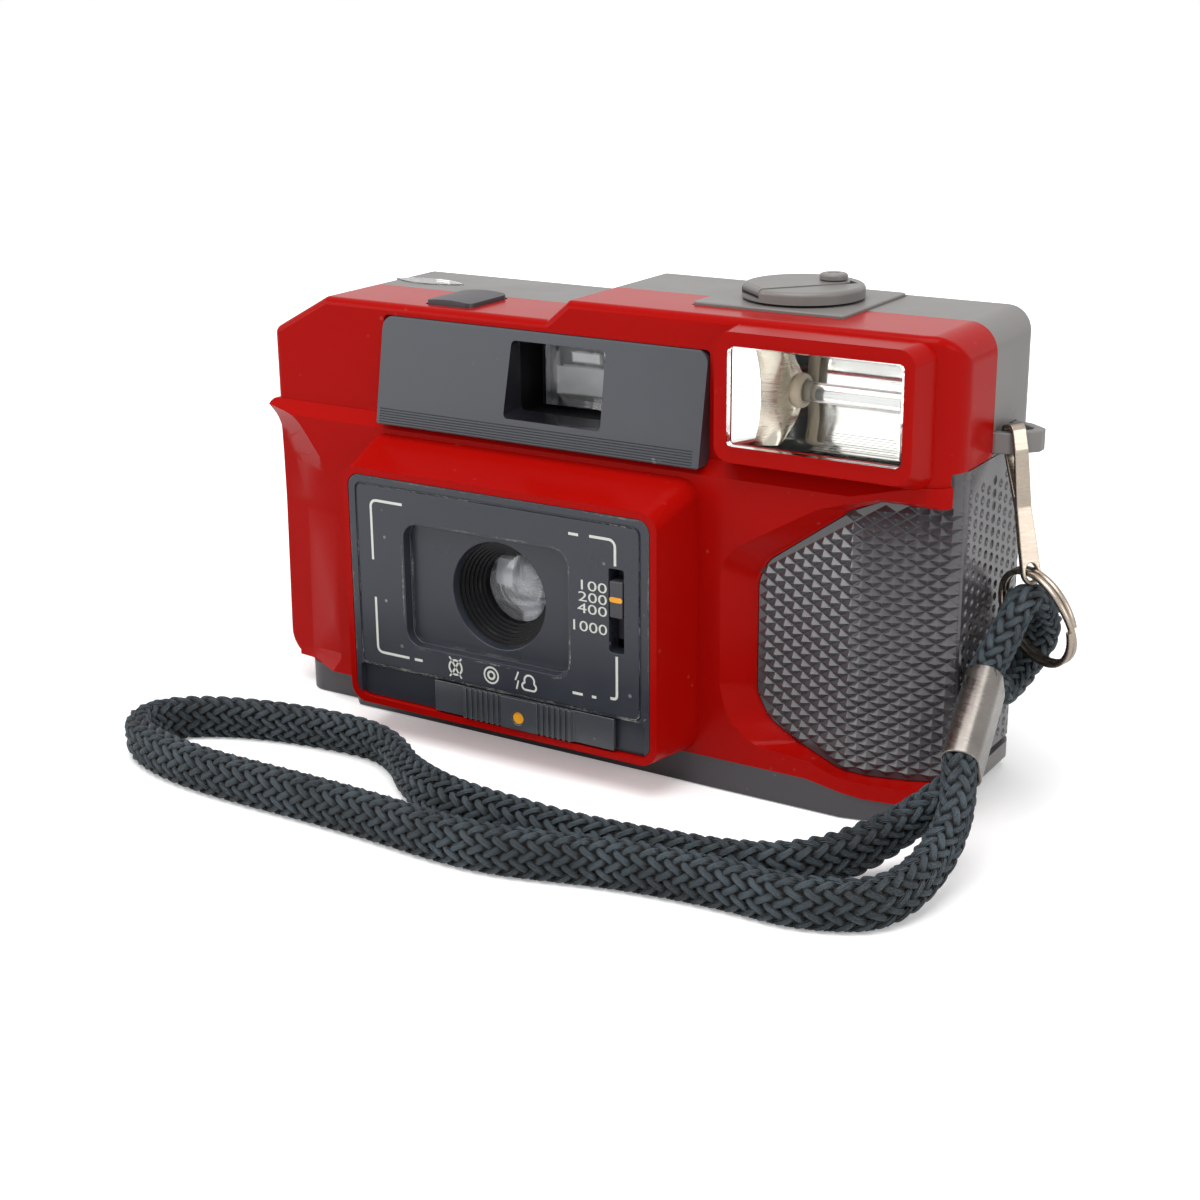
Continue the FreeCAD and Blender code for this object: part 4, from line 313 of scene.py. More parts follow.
# Painted shade: the walls of the finder opening in the bezel are darker and glossier.
paint_shade_in_mouth(LOOKS["bezel_black"], (-12.0, -30, 55.4), (7.0, 0, 68.5), (0.01, 0.01, 0.013), 0.22)
WHITE_INK = plastic("white ink", (0.5, 0.52, 0.47), (0.66, 0.68, 0.62), 0.45, depth=0.05, dust=0.0)
ORANGE_INK = plastic("orange ink", (0.75, 0.3, 0.01), (0.85, 0.38, 0.015), 0.4, depth=0.05, dust=0.0)
PANE = clear("flash pane", (0.97, 0.98, 0.97), 0.0, ior=1.15, depth=0.0)
TUBE_END = plastic("tube end", (0.33, 0.27, 0.19), (0.45, 0.38, 0.28), 0.4, dust=0.0)
CHEEK = metal("cheek metal", (0.5, 0.45, 0.37), (0.62, 0.57, 0.48), 0.22, depth=0.03)
DUST = dust_look("dust lines", (0.24, 0.235, 0.22), 0.24, 0.42)
OWN_LOOK = {
    "aperture_slider": plastic("lever gloss", (0.035, 0.038, 0.044), (0.07, 0.075, 0.085), 0.2, depth=0.05,
                               dust=0.35),
    "strap_ferrule": metal("ferrule steel", (0.12, 0.109, 0.098), (0.29, 0.268, 0.247), 0.3),
    # Painted reflections of the lamps sit in fixed boxes on the lens and finder glass.
    "front_lens": glass_with_painted_reflection("lens glass", [((-12.4, -30, 28.4), (-8.3, 0, 33.2), 0.3),
                                      ((-7.5, -30, 27.8), (-4.4, 0, 32.4), 0.2),
                                      ((-7.4, -30, 23.6), (-3.4, 0, 26.8), 0.25)],
                       (0.7, 0.74, 0.85), 1.55, 0.8),
    "viewfinder_front_lens": glass_with_painted_reflection("finder glass", [((-7.6, -30, 58.3), (3.0, 0, 63.2), 0.5),
                                                   ((-4.9, -30, 63.6), (0.6, 0, 65.6), 0.95)],
                                  (0.85, 0.88, 0.9), 1.45, 0.3),
}


# Pieces from CAD nodes

SHARP_ANGLE = 28


def smooth_by_angle(mesh, degrees):
    mesh.polygons.foreach_set("use_smooth", [True] * len(mesh.polygons))
    mesh.set_sharp_from_angle(angle=math.radians(degrees))


def placed(name, mesh, look):
    """An object with a mesh and a look, in the scene."""
    mesh.materials.append(look)
    piece = bpy.data.objects.new(name, mesh)
    bpy.context.collection.objects.link(piece)
    return piece


def dressed(name, edge=0.2, look=None, shift=None, between=None):
    """A CAD node's surface with its seams joined and its sharp edges rounded by `edge` millimetres. `shift`
    gives the new places of its points, an array in millimetres. When `between` names two bodies, the piece
    is attached to no body and its place is baked into its points."""
    mesh = bpy.data.meshes.new(name + "_shell")
    work = bmesh.new()
    work.from_mesh(frame["nodes"][name].data)
    bmesh.ops.remove_doubles(work, verts=work.verts, dist=2e-6)
    bmesh.ops.dissolve_limit(work, angle_limit=math.radians(0.4), verts=work.verts, edges=work.edges,
                             delimit=set())
    work.to_mesh(mesh)
    work.free()
    if shift:
        flat = np.empty(len(mesh.vertices) * 3)
        mesh.vertices.foreach_get("co", flat)
        mesh.vertices.foreach_set("co", (shift(flat.reshape(-1, 3) / MM) * MM).ravel())
    smooth_by_angle(mesh, SHARP_ANGLE)
    piece = placed(name + "_shell", mesh, look or LOOKS[SLOT_OF[name]])
    if edge:
        bevel = piece.modifiers.new("edges", "BEVEL")
        bevel.width = edge * MM
        bevel.segments = 2
        bevel.limit_method = "ANGLE"
        bevel.angle_limit = math.radians(SHARP_ANGLE)
        bevel.use_clamp_overlap = True
        bevel.miter_outer = "MITER_ARC"
    level = piece.modifiers.new("normals", "WEIGHTED_NORMAL")
    level.keep_sharp = True
    level.weight = 90
    if between:
        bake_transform(piece)
    else:
        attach(piece, BODY_OF[name])
    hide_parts(name)


# Rounding of the shown nodes, in millimetres
EDGES = {
    "front_cover": 0.3, "rear_cover": 0.3, "bottom_cover": 0.3, "viewfinder_bezel": 0.0,
    "viewfinder_tunnel": 0.1, "lens_plate": 0.1, "lens_barrel": 0.04, "aperture_slider": 0.08,
    "speed_slider": 0.15, "shutter_button": 0.5, "rewind_plate": 0.2, "rewind_collar": 0.05,
    "rewind_knob": 0.15, "rewind_crank": 0.15, "crank_knob": 0.15, "advance_wheel": 0.1, "back_door": 0.4,
    "door_latch": 0.15, "battery_door": 0.4, "rewind_release": 0.2, "strap_lug": 0.3, "strap_ferrule": 0.14,
    "tripod_socket": 0.15, "counter_window": 0.1, "lens_retainer": 0.1, "flash_reflector": 0.0,
    "film_chassis": 0.1, "counter_dial": 0.08, "take_up_spool": 0.1, "sprocket_drum": 0.1,
    "pressure_plate": 0.1,
}
MADE_BELOW = ("button_spring", "grip_panel", "strap_clip", "flash_window", "split_ring", "wrist_cord",
              "ring_loop_cord")
for name, width in EDGES.items():
    dressed(name, width, OWN_LOOK.get(name))
dressed("button_spring", 0, between=("camera", "shutter_button"))
for name, solid in frame["nodes"].items():
    if name not in EDGES and name not in MADE_BELOW:
        solid.data.materials.clear()
        solid.data.materials.append(OWN_LOOK.get(name) or LOOKS[SLOT_OF[name]])


# New pieces

def surface(name, verts, faces, look, body, slot, smooth=None):
    """A new piece from points in millimetres."""
    mesh = bpy.data.meshes.new(name)
    mesh.from_pydata((np.asarray(verts, float) * MM).tolist(), [], [list(map(int, f)) for f in faces])
    if smooth:
        smooth_by_angle(mesh, smooth)
    piece = placed(name, mesh, look)
    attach(piece, body)
    return piece


def joined(parts):
    """Points and faces of several surfaces as one."""
    verts, faces = [], []
    for points, cells in parts:
        faces += [tuple(i + len(verts) for i in f) for f in cells]
        verts += points
    return verts, faces


def net(rows, columns, base=0, round_rows=False, round_columns=False):
    """Four-sided faces over rows of points, closed to a ring in a direction that is round."""
    return [(base + i * columns + j, base + i * columns + (j + 1) % columns,
             base + (i + 1) % rows * columns + (j + 1) % columns, base + (i + 1) % rows * columns + j)
            for i in range(rows if round_rows else rows - 1)
            for j in range(columns if round_columns else columns - 1)]


# Grip

GRIP_PLAN = np.array([(20.0, -14.0), (49.0, -14.0), (57.6, -11.9), (64.0, -9.4)])
GRIP_OUTLINE = np.array([
    (33.0, 16.5), (35.2, 12.6), (40.5, 9.6), (47.1, 6.8), (52.0, 6.2), (66.0, 6.2), (66.0, 50.3),
    (60.0, 50.3), (52.6, 49.8), (48.4, 48.1), (34.6, 38.2), (33.0, 34.8)])
GRIP_LOW, GRIP_HIGH, DIMPLE_HIGH = 6.2, 54.9, 52.0
REAR_BEND = (58.6, 12.6)
SIDE_SINK = 0.45


def sink_side(points):
    """Grip panel with its right side drawn in, to make room for the dimpled sheet."""
    x, y = points[:, 0].copy(), points[:, 1].copy()
    points[(x > 63.5) & (y <= REAR_BEND[1]), 0] -= SIDE_SINK
    dx, dy = x - REAR_BEND[0], y - REAR_BEND[1]
    r = np.hypot(dx, dy)
    bend = (dy > 0) & (r > 5.2)
    share = (r[bend] - SIDE_SINK) / r[bend]
    points[bend, 0] = REAR_BEND[0] + dx[bend] * share
    points[bend, 1] = REAR_BEND[1] + dy[bend] * share
    return points


def grip_front(x):
    """Depth of the grip's front at x, and its outward direction there."""
    before, y, after = np.interp((x - 0.8, x, x + 0.8), GRIP_PLAN[:, 0], GRIP_PLAN[:, 1])
    slope = (after - before) / 1.6
    size = np.hypot(slope, 1.0)
    return y, slope / size, -1.0 / size


def inside_grip(x, z, margin):
    """Whether a point of the front view lies in the grip's outline, a margin from its edge."""
    within, near = False, 1e9
    for (x0, z0), (x1, z1) in zip(GRIP_OUTLINE, np.roll(GRIP_OUTLINE, -1, axis=0)):
        wide, high = x1 - x0, z1 - z0
        if (z0 > z) != (z1 > z) and x < x0 + (z - z0) * wide / high:
            within = not within
        share = np.clip(((x - x0) * wide + (z - z0) * high) / (wide ** 2 + high ** 2), 0, 1)
        near = min(near, math.hypot(x - x0 - share * wide, z - z0 - share * high))
    return within and near > margin


def knurl():
    """Diamond pyramids on the grip's front. Their middles are at (x, z) = (i a, j p + (i mod 2) p / 2) with
    a = 1.55 and p = 2.0 mm; the height is H (1 - |x| / a - |z| / (p / 2)) / (1 - c), cut flat at H."""
    a, p, high, flat = 1.55, 2.0, 0.62, 0.12
    verts, faces = [], []
    for i in range(20):
        for j in range(26):
            x, z = 32.9 + a * i, 5.4 + p * j + (i % 2) * p / 2
            if x > 62.7 or not inside_grip(x, z, 0.55):
                continue
            base = len(verts)
            for size, lift in ((1.0, -0.03), (flat, high)):
                for u, v in ((a, 0), (0, p / 2), (-a, 0), (0, -p / 2)):
                    px = min(x + u * size, 63.9)
                    y, nx, ny = grip_front(px)
                    verts.append((px + nx * lift, y + ny * lift, z + v * size))
            for k in range(4):
                n = (k + 1) % 4
                faces.append((base + n, base + k, base + 4 + k, base + 4 + n))
            faces.append((base + 7, base + 6, base + 5, base + 4))
    surface("grip_knurl", verts, faces, LOOKS["grip_grey"], "camera", "grip_grey")


def side_path():
    """The side sheet's path in plan: end of the facet, a small bend, the flat side and the rear bend."""
    turn = np.linspace(0, 1, 7)[:, None]
    a, b, c = np.array((62.9, -9.83)), np.array((64.0, -9.4)), np.array((64.0, -8.3))
    bend = (1 - turn) ** 2 * a + 2 * turn * (1 - turn) * b + turn ** 2 * c
    angle = np.radians(np.linspace(0, 39, 9))
    rear = np.stack([REAR_BEND[0] + 5.4 * np.cos(angle), REAR_BEND[1] + 5.4 * np.sin(angle)], 1)
    path = np.concatenate([[(62.2, -10.1)], bend, rear])
    run = np.concatenate([[0], np.cumsum(np.hypot(*np.diff(path, axis=0).T))])
    return path, run


def place_on_side(path, run, s, z, deep):
    """A point of the side sheet at a distance along its path and a height, `deep` under the skin."""
    s, z = min(max(s, 0.0), run[-1]), min(max(z, GRIP_LOW + 0.02), GRIP_HIGH - 0.03)
    (x0, x, x1), (y0, y, y1) = (np.interp((s - 0.2, s, s + 0.2), run, path[:, i]) for i in (0, 1))
    size = math.hypot(x1 - x0, y1 - y0)
    return x - (deep + 0.02) * (y1 - y0) / size, y + (deep + 0.02) * (x1 - x0) / size, z


def face_size(corners):
    """Twice the area of a flat face."""
    return sum(np.linalg.norm(np.cross(corners[m] - corners[0], corners[m + 1] - corners[0]))
               for m in range(1, len(corners) - 1))


def side_sheet():
    """Dimpled skin of the grip's side. Each cell is 2.4 by 2.0 mm with a round bowl of radius 0.76 mm and
    depth 0.38 mm in three rings; every other column is half a cell higher."""
    wide, high, bowl_rings = 1.2, 1.0, [(0.76, 0.0), (0.64, 0.17), (0.4, 0.33)]
    path, run = side_path()
    start = np.interp(-9.0, path[:, 1], run)
    corner = math.atan2(high, wide)
    quarter = np.array([0, corner / 2, corner, (corner + np.pi / 2) / 2])
    half = np.concatenate([quarter, [np.pi / 2], np.pi - quarter[::-1]])
    angles = np.concatenate([half, half[1:-1] + np.pi])
    reach = np.minimum(wide / np.maximum(np.abs(np.cos(angles)), 1e-9),
                       high / np.maximum(np.abs(np.sin(angles)), 1e-9))
    count = len(angles)
    verts, faces = [], []
    for k in range(-1, 12):
        for j in range(-1, 27):
            s0, z0 = start + 1.3 + 2 * wide * k, GRIP_LOW + 0.9 + 2 * high * j + (k % 2)
            if s0 - wide > run[-1] or s0 + wide < 0:
                continue
            bowl = k >= 0 and s0 + 0.8 < run[-1] and z0 - 0.8 > GRIP_LOW and z0 + 0.8 < DIMPLE_HIGH
            rings = [(reach, 0.0)] + [(np.full(count, r), deep) for r, deep in bowl_rings if bowl]
            base = len(verts)
            for radii, deep in rings:
                for angle, r in zip(angles, radii):
                    verts.append(place_on_side(path, run, s0 + r * math.cos(angle), z0 + r * math.sin(angle),
                                               deep))
            verts.append(place_on_side(path, run, s0, z0, 0.38 if bowl else 0.0))
            faces += net(len(rings), count, base, round_columns=True)
            last, middle = base + (len(rings) - 1) * count, len(verts) - 1
            faces += [(last + m, last + (m + 1) % count, middle) for m in range(count)]
    points = np.array(verts)
    kept = [f for f in faces if face_size(points[list(f)]) > 1e-4]
    surface("grip_side", verts, kept, LOOKS["grip_grey"], "camera", "grip_grey", smooth=32)


def slim_clip(points):
    """Clip with its strip drawn in across its width, about the line from its top to its foot."""
    top, foot = np.array((66.06, 2.27, 60.0)), np.array((71.38, -0.27, 36.52))
    along = (foot - top) / np.linalg.norm(foot - top)
    across = np.array((0.67, 0.74, 0.0))
    across -= along * (across @ along)
    across /= np.linalg.norm(across)
    reach = (points - top) @ across
    down = (points - top) @ along
    share = np.interp(down, [0, 14, 20, 24], [0.2, 0.35, 0.28, 0.25])
    return points - np.outer(reach * share, across)


dressed("grip_panel", 0.15, shift=sink_side)
dressed("strap_clip", 0.12, shift=slim_clip)
knurl()
side_sheet()


# Marks on the lens plate and the sliders

INK_Y = -27.02


def ribbon(points, width, closed=False):
    """Flat ribbon along a path in the front view: each point moves half the width to both sides."""
    p = np.array(points, float)
    if closed:
        ahead, behind = np.roll(p, -1, axis=0), np.roll(p, 1, axis=0)
    else:
        ahead, behind = np.vstack([p[1:], p[-1:]]), np.vstack([p[:1], p[:-1]])
    way = ahead - behind
    way /= np.linalg.norm(way, axis=1)[:, None]
    side = np.stack([-way[:, 1], way[:, 0]], 1) * width / 2
    verts = [(x, INK_Y, z) for x, z in np.concatenate([p + side, p - side])]
    count = len(p)
    faces = [(count + i, count + (i + 1) % count, (i + 1) % count, i)
             for i in range(count if closed else count - 1)]
    return verts, faces


def arc(x, z, r, start=0.0, stop=360.0, count=28):
    angle = np.radians(np.linspace(start, stop, count, endpoint=stop - start < 360))
    return [(x + r * math.cos(a), z + r * math.sin(a)) for a in angle]


def rounded(x0, x1, z0, z1, r):
    """Rounded rectangle of the front view as points."""
    return (arc(x1 - r, z1 - r, r, 0, 90, 6) + arc(x0 + r, z1 - r, r, 90, 180, 6)
            + arc(x0 + r, z0 + r, r, 180, 270, 6) + arc(x1 - r, z0 + r, r, 270, 359.9, 6))


def number(text, x0, x1, z0, z1):
    """Plain number fitted to a box of the front view."""
    font = bpy.data.curves.new("number_" + text, "FONT")
    font.body = text
    font.resolution_u = 4
    holder = bpy.data.objects.new("number_" + text, font)
    drawn = bpy.data.meshes.new_from_object(holder)
    points = np.array([v.co[:] for v in drawn.vertices])
    faces = [tuple(f.vertices) for f in drawn.polygons]
    low, high = points.min(0), points.max(0)
    x = x0 + (points[:, 0] - low[0]) / (high[0] - low[0]) * (x1 - x0)
    z = z0 + (points[:, 1] - low[1]) / (high[1] - low[1]) * (z1 - z0)
    bpy.data.objects.remove(holder)
    return [(a, INK_Y, b) for a, b in zip(x, z)], faces


def plate_marks():
    """Frame lines, film speed numbers and the three zone signs, printed on the lens plate."""
    frame_lines = [
        [(10.4, 41.8)] + arc(13.9, 40.7, 1.1, 90, 0, 6) + [(15.0, 37.7)],
        [(15.2, 23.1), (15.2, 17.0)] + arc(14.6, 16.6, 0.6, 0, -90, 6)[1:] + [(14.0, 16.0)],
        [(6.6, 41.7), (8.4, 41.7)],
        [(7.0, 15.6), (8.9, 15.6)],
        [(10.6, 15.6), (11.4, 15.6)],
        [(-25.4, 41.7), (-30.6, 41.7)] + arc(-30.7, 40.6, 1.1, 90, 180, 6)[1:] + [(-31.8, 31.5)],
        [(-31.6, 25.0), (-31.6, 16.4)] + arc(-30.6, 16.4, 1.0, 180, 270, 6)[1:] + [(-25.1, 15.4)],
        [(-24.0, 15.4), (-22.4, 15.4)],
    ]
    crosses = [
        ([(-16.5, 14.2), (-14.9, 16.8)], 0.35), ([(-14.9, 14.2), (-16.5, 16.8)], 0.35),
        ([(-16.9, 17.2), (-16.5, 16.7)], 0.3), ([(-14.5, 17.2), (-14.9, 16.7)], 0.3),
        ([(-16.9, 13.8), (-16.5, 14.3)], 0.3), ([(-14.5, 13.8), (-14.9, 14.3)], 0.3),
    ]
    cloud = (arc(-1.2, 15.9, 0.95, -20, 200, 14) + arc(-2.0, 14.9, 0.6, 100, 270, 8)
             + arc(-0.5, 14.9, 0.6, -90, 60, 8))
    parts = [ribbon(line, 0.45) for line in frame_lines] + [
        number("100", 8.8, 13.5, 33.0, 34.6), number("200", 8.3, 13.5, 31.1, 32.7),
        number("400", 8.1, 13.5, 29.2, 30.8), number("1000", 7.3, 13.5, 26.2, 27.9),
        ribbon(arc(-15.7, 15.5, 1.25), 0.35, True),
    ] + [ribbon(*cross) for cross in crosses] + [
        ribbon(arc(-8.6, 15.5, 1.35), 0.32, True), ribbon(arc(-8.6, 15.5, 0.62), 0.38, True),
        ribbon([(-3.3, 17.1), (-3.9, 15.6), (-3.3, 15.6), (-3.7, 14.1)], 0.3),
        ribbon(cloud, 0.34, True),
    ]
    surface("plate_marks", *joined(parts), WHITE_INK, "camera", "dial_white")


def dust_lines():
    """Dust along the rims of the lens plate and of its recess."""
    rims = [
        ribbon(rounded(-25.8, 6.6, 17.4, 39.0, 3.0), 0.32, True),
        ribbon(rounded(-36.15, 20.85, 13.0, 45.45, 2.0), 0.3, True),
        ribbon(rounded(-34.8, 19.3, 13.2, 44.2, 1.3), 0.22, True),
    ]
    surface("plate_dust", *joined(rims), DUST, "camera", "dial_white")
    verts, faces = ribbon(rounded(-25.1, 5.9, 18.1, 38.3, 2.4), 0.5, True)
    surface("recess_dust", [(x, -25.22, z) for x, _, z in verts], faces, DUST, "camera", "dial_white")


def slab(outline, y0, y1, back=True):
    """Prism of a front view outline, given anticlockwise as seen from the front."""
    count = len(outline)
    verts = [(x, y, z) for y in (y0, y1) for x, z in outline]
    faces = [tuple(range(count))]
    if back:
        faces.append(tuple(range(2 * count - 1, count - 1, -1)))
    faces += [(i, count + i, count + (i + 1) % count, (i + 1) % count) for i in range(count)]
    return verts, faces


def pill(name, x, z, y, wide, high, body):
    """Small flat rounded mark of colour."""
    r = min(wide, high) / 2
    a, b = wide / 2 - r, high / 2 - r
    outline = [(x + math.copysign(a, c) + r * c, z + math.copysign(b, s) + r * s)
               for c, s in ((math.cos(t), math.sin(t)) for t in np.radians(np.arange(7, 367, 12)))]
    surface(name, *slab(outline, y, y + 0.12, back=False), ORANGE_INK, body, "dial_white")


# Flash

FLASH_LOW, FLASH_TALL = 56.9, 15.1
TUBE_Y, TUBE_Z = -11.0, 64.45


def flash_front():
    """Clear pane of the flash with fine mould lines, low on its right."""
    verts, faces = slab(rounded(30.45, 58.05, 57.05, 71.85, 0.8), -20.55, -19.2)
    pane = surface("flash_pane", verts, faces, PANE, "camera", "clear")
    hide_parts("flash_window")
    lines = [ribbon([(43.5 + 0.5 * k, 57.9 + 0.36 * k), (57.2, 57.9 + 0.36 * k)], 0.09) for k in range(9)]
    for z, stop in ((64.1, 36.5), (65.6, 37.5), (66.9, 38.5), (62.2, 35.5)):
        lines.append(ribbon([(31.0, z), (stop, z)], 0.07))
    verts, faces = joined(lines)
    surface("flash_lines", [(x, -19.1, z) for x, _, z in verts], faces, LOOKS["grey_shell"], "camera",
            "grey_shell")


def flash_cheek():
    """Bowed end wall of the reflector: at a depth s and a height v, both from 0 to 1, its x is
    34.6 + 3.4 sin(pi s / 2) - 1.2 (2 v - 1)^2. A flat shoulder joins it to the reflector's front."""
    rows, columns = 17, 15
    wall, shoulder = [], []
    for v in np.arange(rows) / (rows - 1):
        z, bow = FLASH_LOW + FLASH_TALL * v, (2 * v - 1) ** 2
        for s in np.arange(columns) / (columns - 1):
            wall.append((34.6 + 3.4 * math.sin(math.pi * s / 2) - 1.2 * bow,
                         -17.3 + 7.2 * s * (1 - 0.72 * bow), z))
        shoulder += [(30.55, -18.9, z), (34.5 - 1.2 * bow, -17.25, z)]
    surface("flash_cheek", wall, net(rows, columns), CHEEK, "camera", "bright_metal", smooth=60)
    surface("flash_shoulder", shoulder, net(rows, 2), LOOKS["bright_metal"], "camera", "bright_metal",
            smooth=60)


def tube_ends():
    """Soft rings that hold the flash tube: r = 2.1 + 0.55 cos q, turned about the tube's axis."""
    rows, columns = 28, 12
    verts, faces = [], []
    for start, wide in ((38.0, 1.9), (55.6, 1.6)):
        faces += net(rows, columns, len(verts), round_rows=True, round_columns=True)
        for i in range(rows):
            turn = 2 * math.pi * i / rows
            for j in range(columns):
                q = 2 * math.pi * j / columns
                r = 2.1 + 0.55 * math.cos(q)
                verts.append((start + wide / 2 * math.sin(q), TUBE_Y + r * math.cos(turn),
                              TUBE_Z + r * math.sin(turn)))
    surface("tube_ends", verts, faces, TUBE_END, "camera", "dial_white", smooth=60)


plate_marks()
dust_lines()
flash_front()
flash_cheek()
tube_ends()
pill("lever_dot", -3.2, 9.3, -27.46, 2.0, 2.0, "aperture_slider")
pill("speed_mark", 15.15, 32.3, -27.16, 2.3, 0.85, "speed_slider")


# Split ring

def split_ring_coils():
    """Two turns of flat wire: at an angle t the middle of the wire is at radius 7.65 mm and at an axial
    place from -0.46 to 0.46 mm, which changes over the last tenth of the first turn."""
    axis = np.array((0.48, 0.84, 0.25))
    axis /= np.linalg.norm(axis)
    first = np.cross(axis, (0, 0, 1.0))
    first /= np.linalg.norm(first)
    second = np.cross(axis, first)
    t = np.linspace(0, 1.99, 300) * 2 * np.pi
    step = np.clip((t / (2 * np.pi) - 0.9) / 0.2, 0, 1)
    along = -0.46 + 0.92 * step * step * (3 - 2 * step)
    corners = [(0.45, 0.27), (0.3, 0.42), (-0.3, 0.42), (-0.45, 0.27), (-0.45, -0.27), (-0.3, -0.42),
               (0.3, -0.42), (0.45, -0.27)]
    centre = np.array((71.9, 1.6, 31.0))
    verts = []
    for angle, shift in zip(t, along):
        out = first * math.cos(angle) + second * math.sin(angle)
        verts += [centre + out * (7.65 + dr) + axis * (shift + da) for dr, da in corners]
    count = len(corners)
    faces = net(len(t), count, round_columns=True)
    faces += [tuple(range(count - 1, -1, -1)), tuple(range((len(t) - 1) * count, len(t) * count))]
    a, b, c = (verts[i] for i in faces[0][:3])
    if np.dot(np.cross(b - a, c - a), a - centre - axis * np.dot(a - centre, axis)) < 0:
        faces = [f[::-1] for f in faces]
    ring = surface("split_ring_coils", verts, faces, LOOKS["steel"], "split_ring", "steel", smooth=50)
    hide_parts("split_ring")


split_ring_coils()


# Strap

def spline(points, step):
    """Places every `step` millimetres along the order 3 spline of a route, the spline's parameter there and
    its length. The parameter runs from 0 to the number of spans."""
    curve = bpy.data.curves.new("route", "CURVE")
    curve.dimensions = "3D"
    curve.resolution_u = 64
    line = curve.splines.new("NURBS")
    line.points.add(len(points) - 1)
    for knot, place in zip(line.points, points):
        knot.co = (*[v * MM for v in place], 1.0)
    line.order_u = 3
    line.use_endpoint_u = True
    line.resolution_u = 64
    holder = bpy.data.objects.new("route", curve)
    drawn = bpy.data.meshes.new_from_object(holder)
    place = np.array([v.co[:] for v in drawn.vertices]) / MM
    bpy.data.objects.remove(holder)
    t = np.linspace(0, len(points) - 2, len(place))
    run = np.concatenate([[0], np.cumsum(np.linalg.norm(np.diff(place, axis=0), axis=1))])
    even = np.linspace(0, run[-1], max(8, int(run[-1] / step)) + 1)
    even_place = np.stack([np.interp(even, run, place[:, i]) for i in range(3)], 1)
    return even_place, np.interp(even, run, t), run[-1]


# Direction from one strand to the other in the ferrule
ACROSS = (0.079, -0.523, 0.848)


def ferrule_spot(at, side, out):
    """A point in the ferrule's mouth: one strand to each side of its middle, `out` along its axis."""
    top, foot = np.array([68.1, -8.5, 22.9]), np.array([70.15, -22.0, 14.4])
    along = (foot - top) / np.linalg.norm(foot - top)
    wide = np.array(ACROSS)
    wide -= along * wide.dot(along)
    wide /= np.linalg.norm(wide)
    return list((top if at == "top" else foot) + wide * 1.95 * side + along * out)


# Height of the strap's middle where it lies on the table
H = 3.5
WRIST_ROUTE = [
    ferrule_spot("foot", 1, -2.5), ferrule_spot("foot", 1, 0.8), (72.6, -28.6, 11.5), (72.4, -33.5, 7.2),
    (71.4, -41.2, 4.4), (68.5, -47.6, H), (62.9, -50.8, H), (57.2, -52.4, H), (50, -52.2, H), (41, -53, H),
    (31.2, -54.7, H), (22, -57.5, H), (14.1, -59.8, H), (5, -60.4, H), (-6.7, -59.6, H), (-19.6, -59.3, H),
    (-31.5, -59.5, H), (-43.2, -59.4, H), (-53.8, -57.7, H), (-62.2, -54, 3.3), (-64.4, -48, 3),
    (-60.6, -42.8, 3), (-52.1, -38.5, 3), (-42.1, -36, 3), (-32, -35, 3), (-25.2, -35.3, 3),
    (-19.2, -38.2, 3), (-12.7, -44, 3.2), (-4.8, -48.3, 3.4), (2.7, -49.9, H), (11.1, -50.3, H),
    (19.5, -50.8, H), (28.5, -50.1, H), (37.7, -48.7, H), (45.8, -47.2, H), (53.4, -43.4, H),
    (58.8, -37.4, 4.2), (63.1, -31.9, 6.2), (67, -27, 9.4), ferrule_spot("foot", -1, 0.8),
    ferrule_spot("foot", -1, -2.5)]
LOOP_ROUTE = [
    ferrule_spot("top", 1, 2.5), ferrule_spot("top", 1, -0.8), (69.3, -5.2, 29.0), (70, -0.6, 33.7),
    (70.1, 3.6, 33.2), (70, 7.7, 29.3), (68.8, 9.2, 24.8), (67.4, 5.6, 20.6), (67.3, -1.2, 19.4),
    ferrule_spot("top", -1, -0.8), ferrule_spot("top", -1, 2.5)]


def squircle(angle):
    """Point of a rounded square at an angle, from -1 to 1 on both axes."""
    return [np.sign(v) * np.abs(v) ** 0.75 for v in (np.cos(angle), np.sin(angle))]


def section(angle, wide, thick):
    """A flat braid's outline: a rounded rectangle, wide along its first axis. The angle is spread by the
    length along a typical 7 by 3.8 mm outline, so that yarns keep an even spread."""
    a = np.linspace(0, 2 * np.pi, 721)
    x, y = squircle(a)
    run = np.concatenate([[0], np.cumsum(np.hypot(np.diff(x * 3.5), np.diff(y * 1.9)))])
    x, y = squircle(np.interp((angle / (2 * np.pi)) % 1.0, run / run[-1], a))
    return x * wide / 2, y * thick / 2


# Way round a typical section, yarns wound each way and the length of one turn
GIRTH, CARRIERS, PITCH = 18.3, 12, 31.0


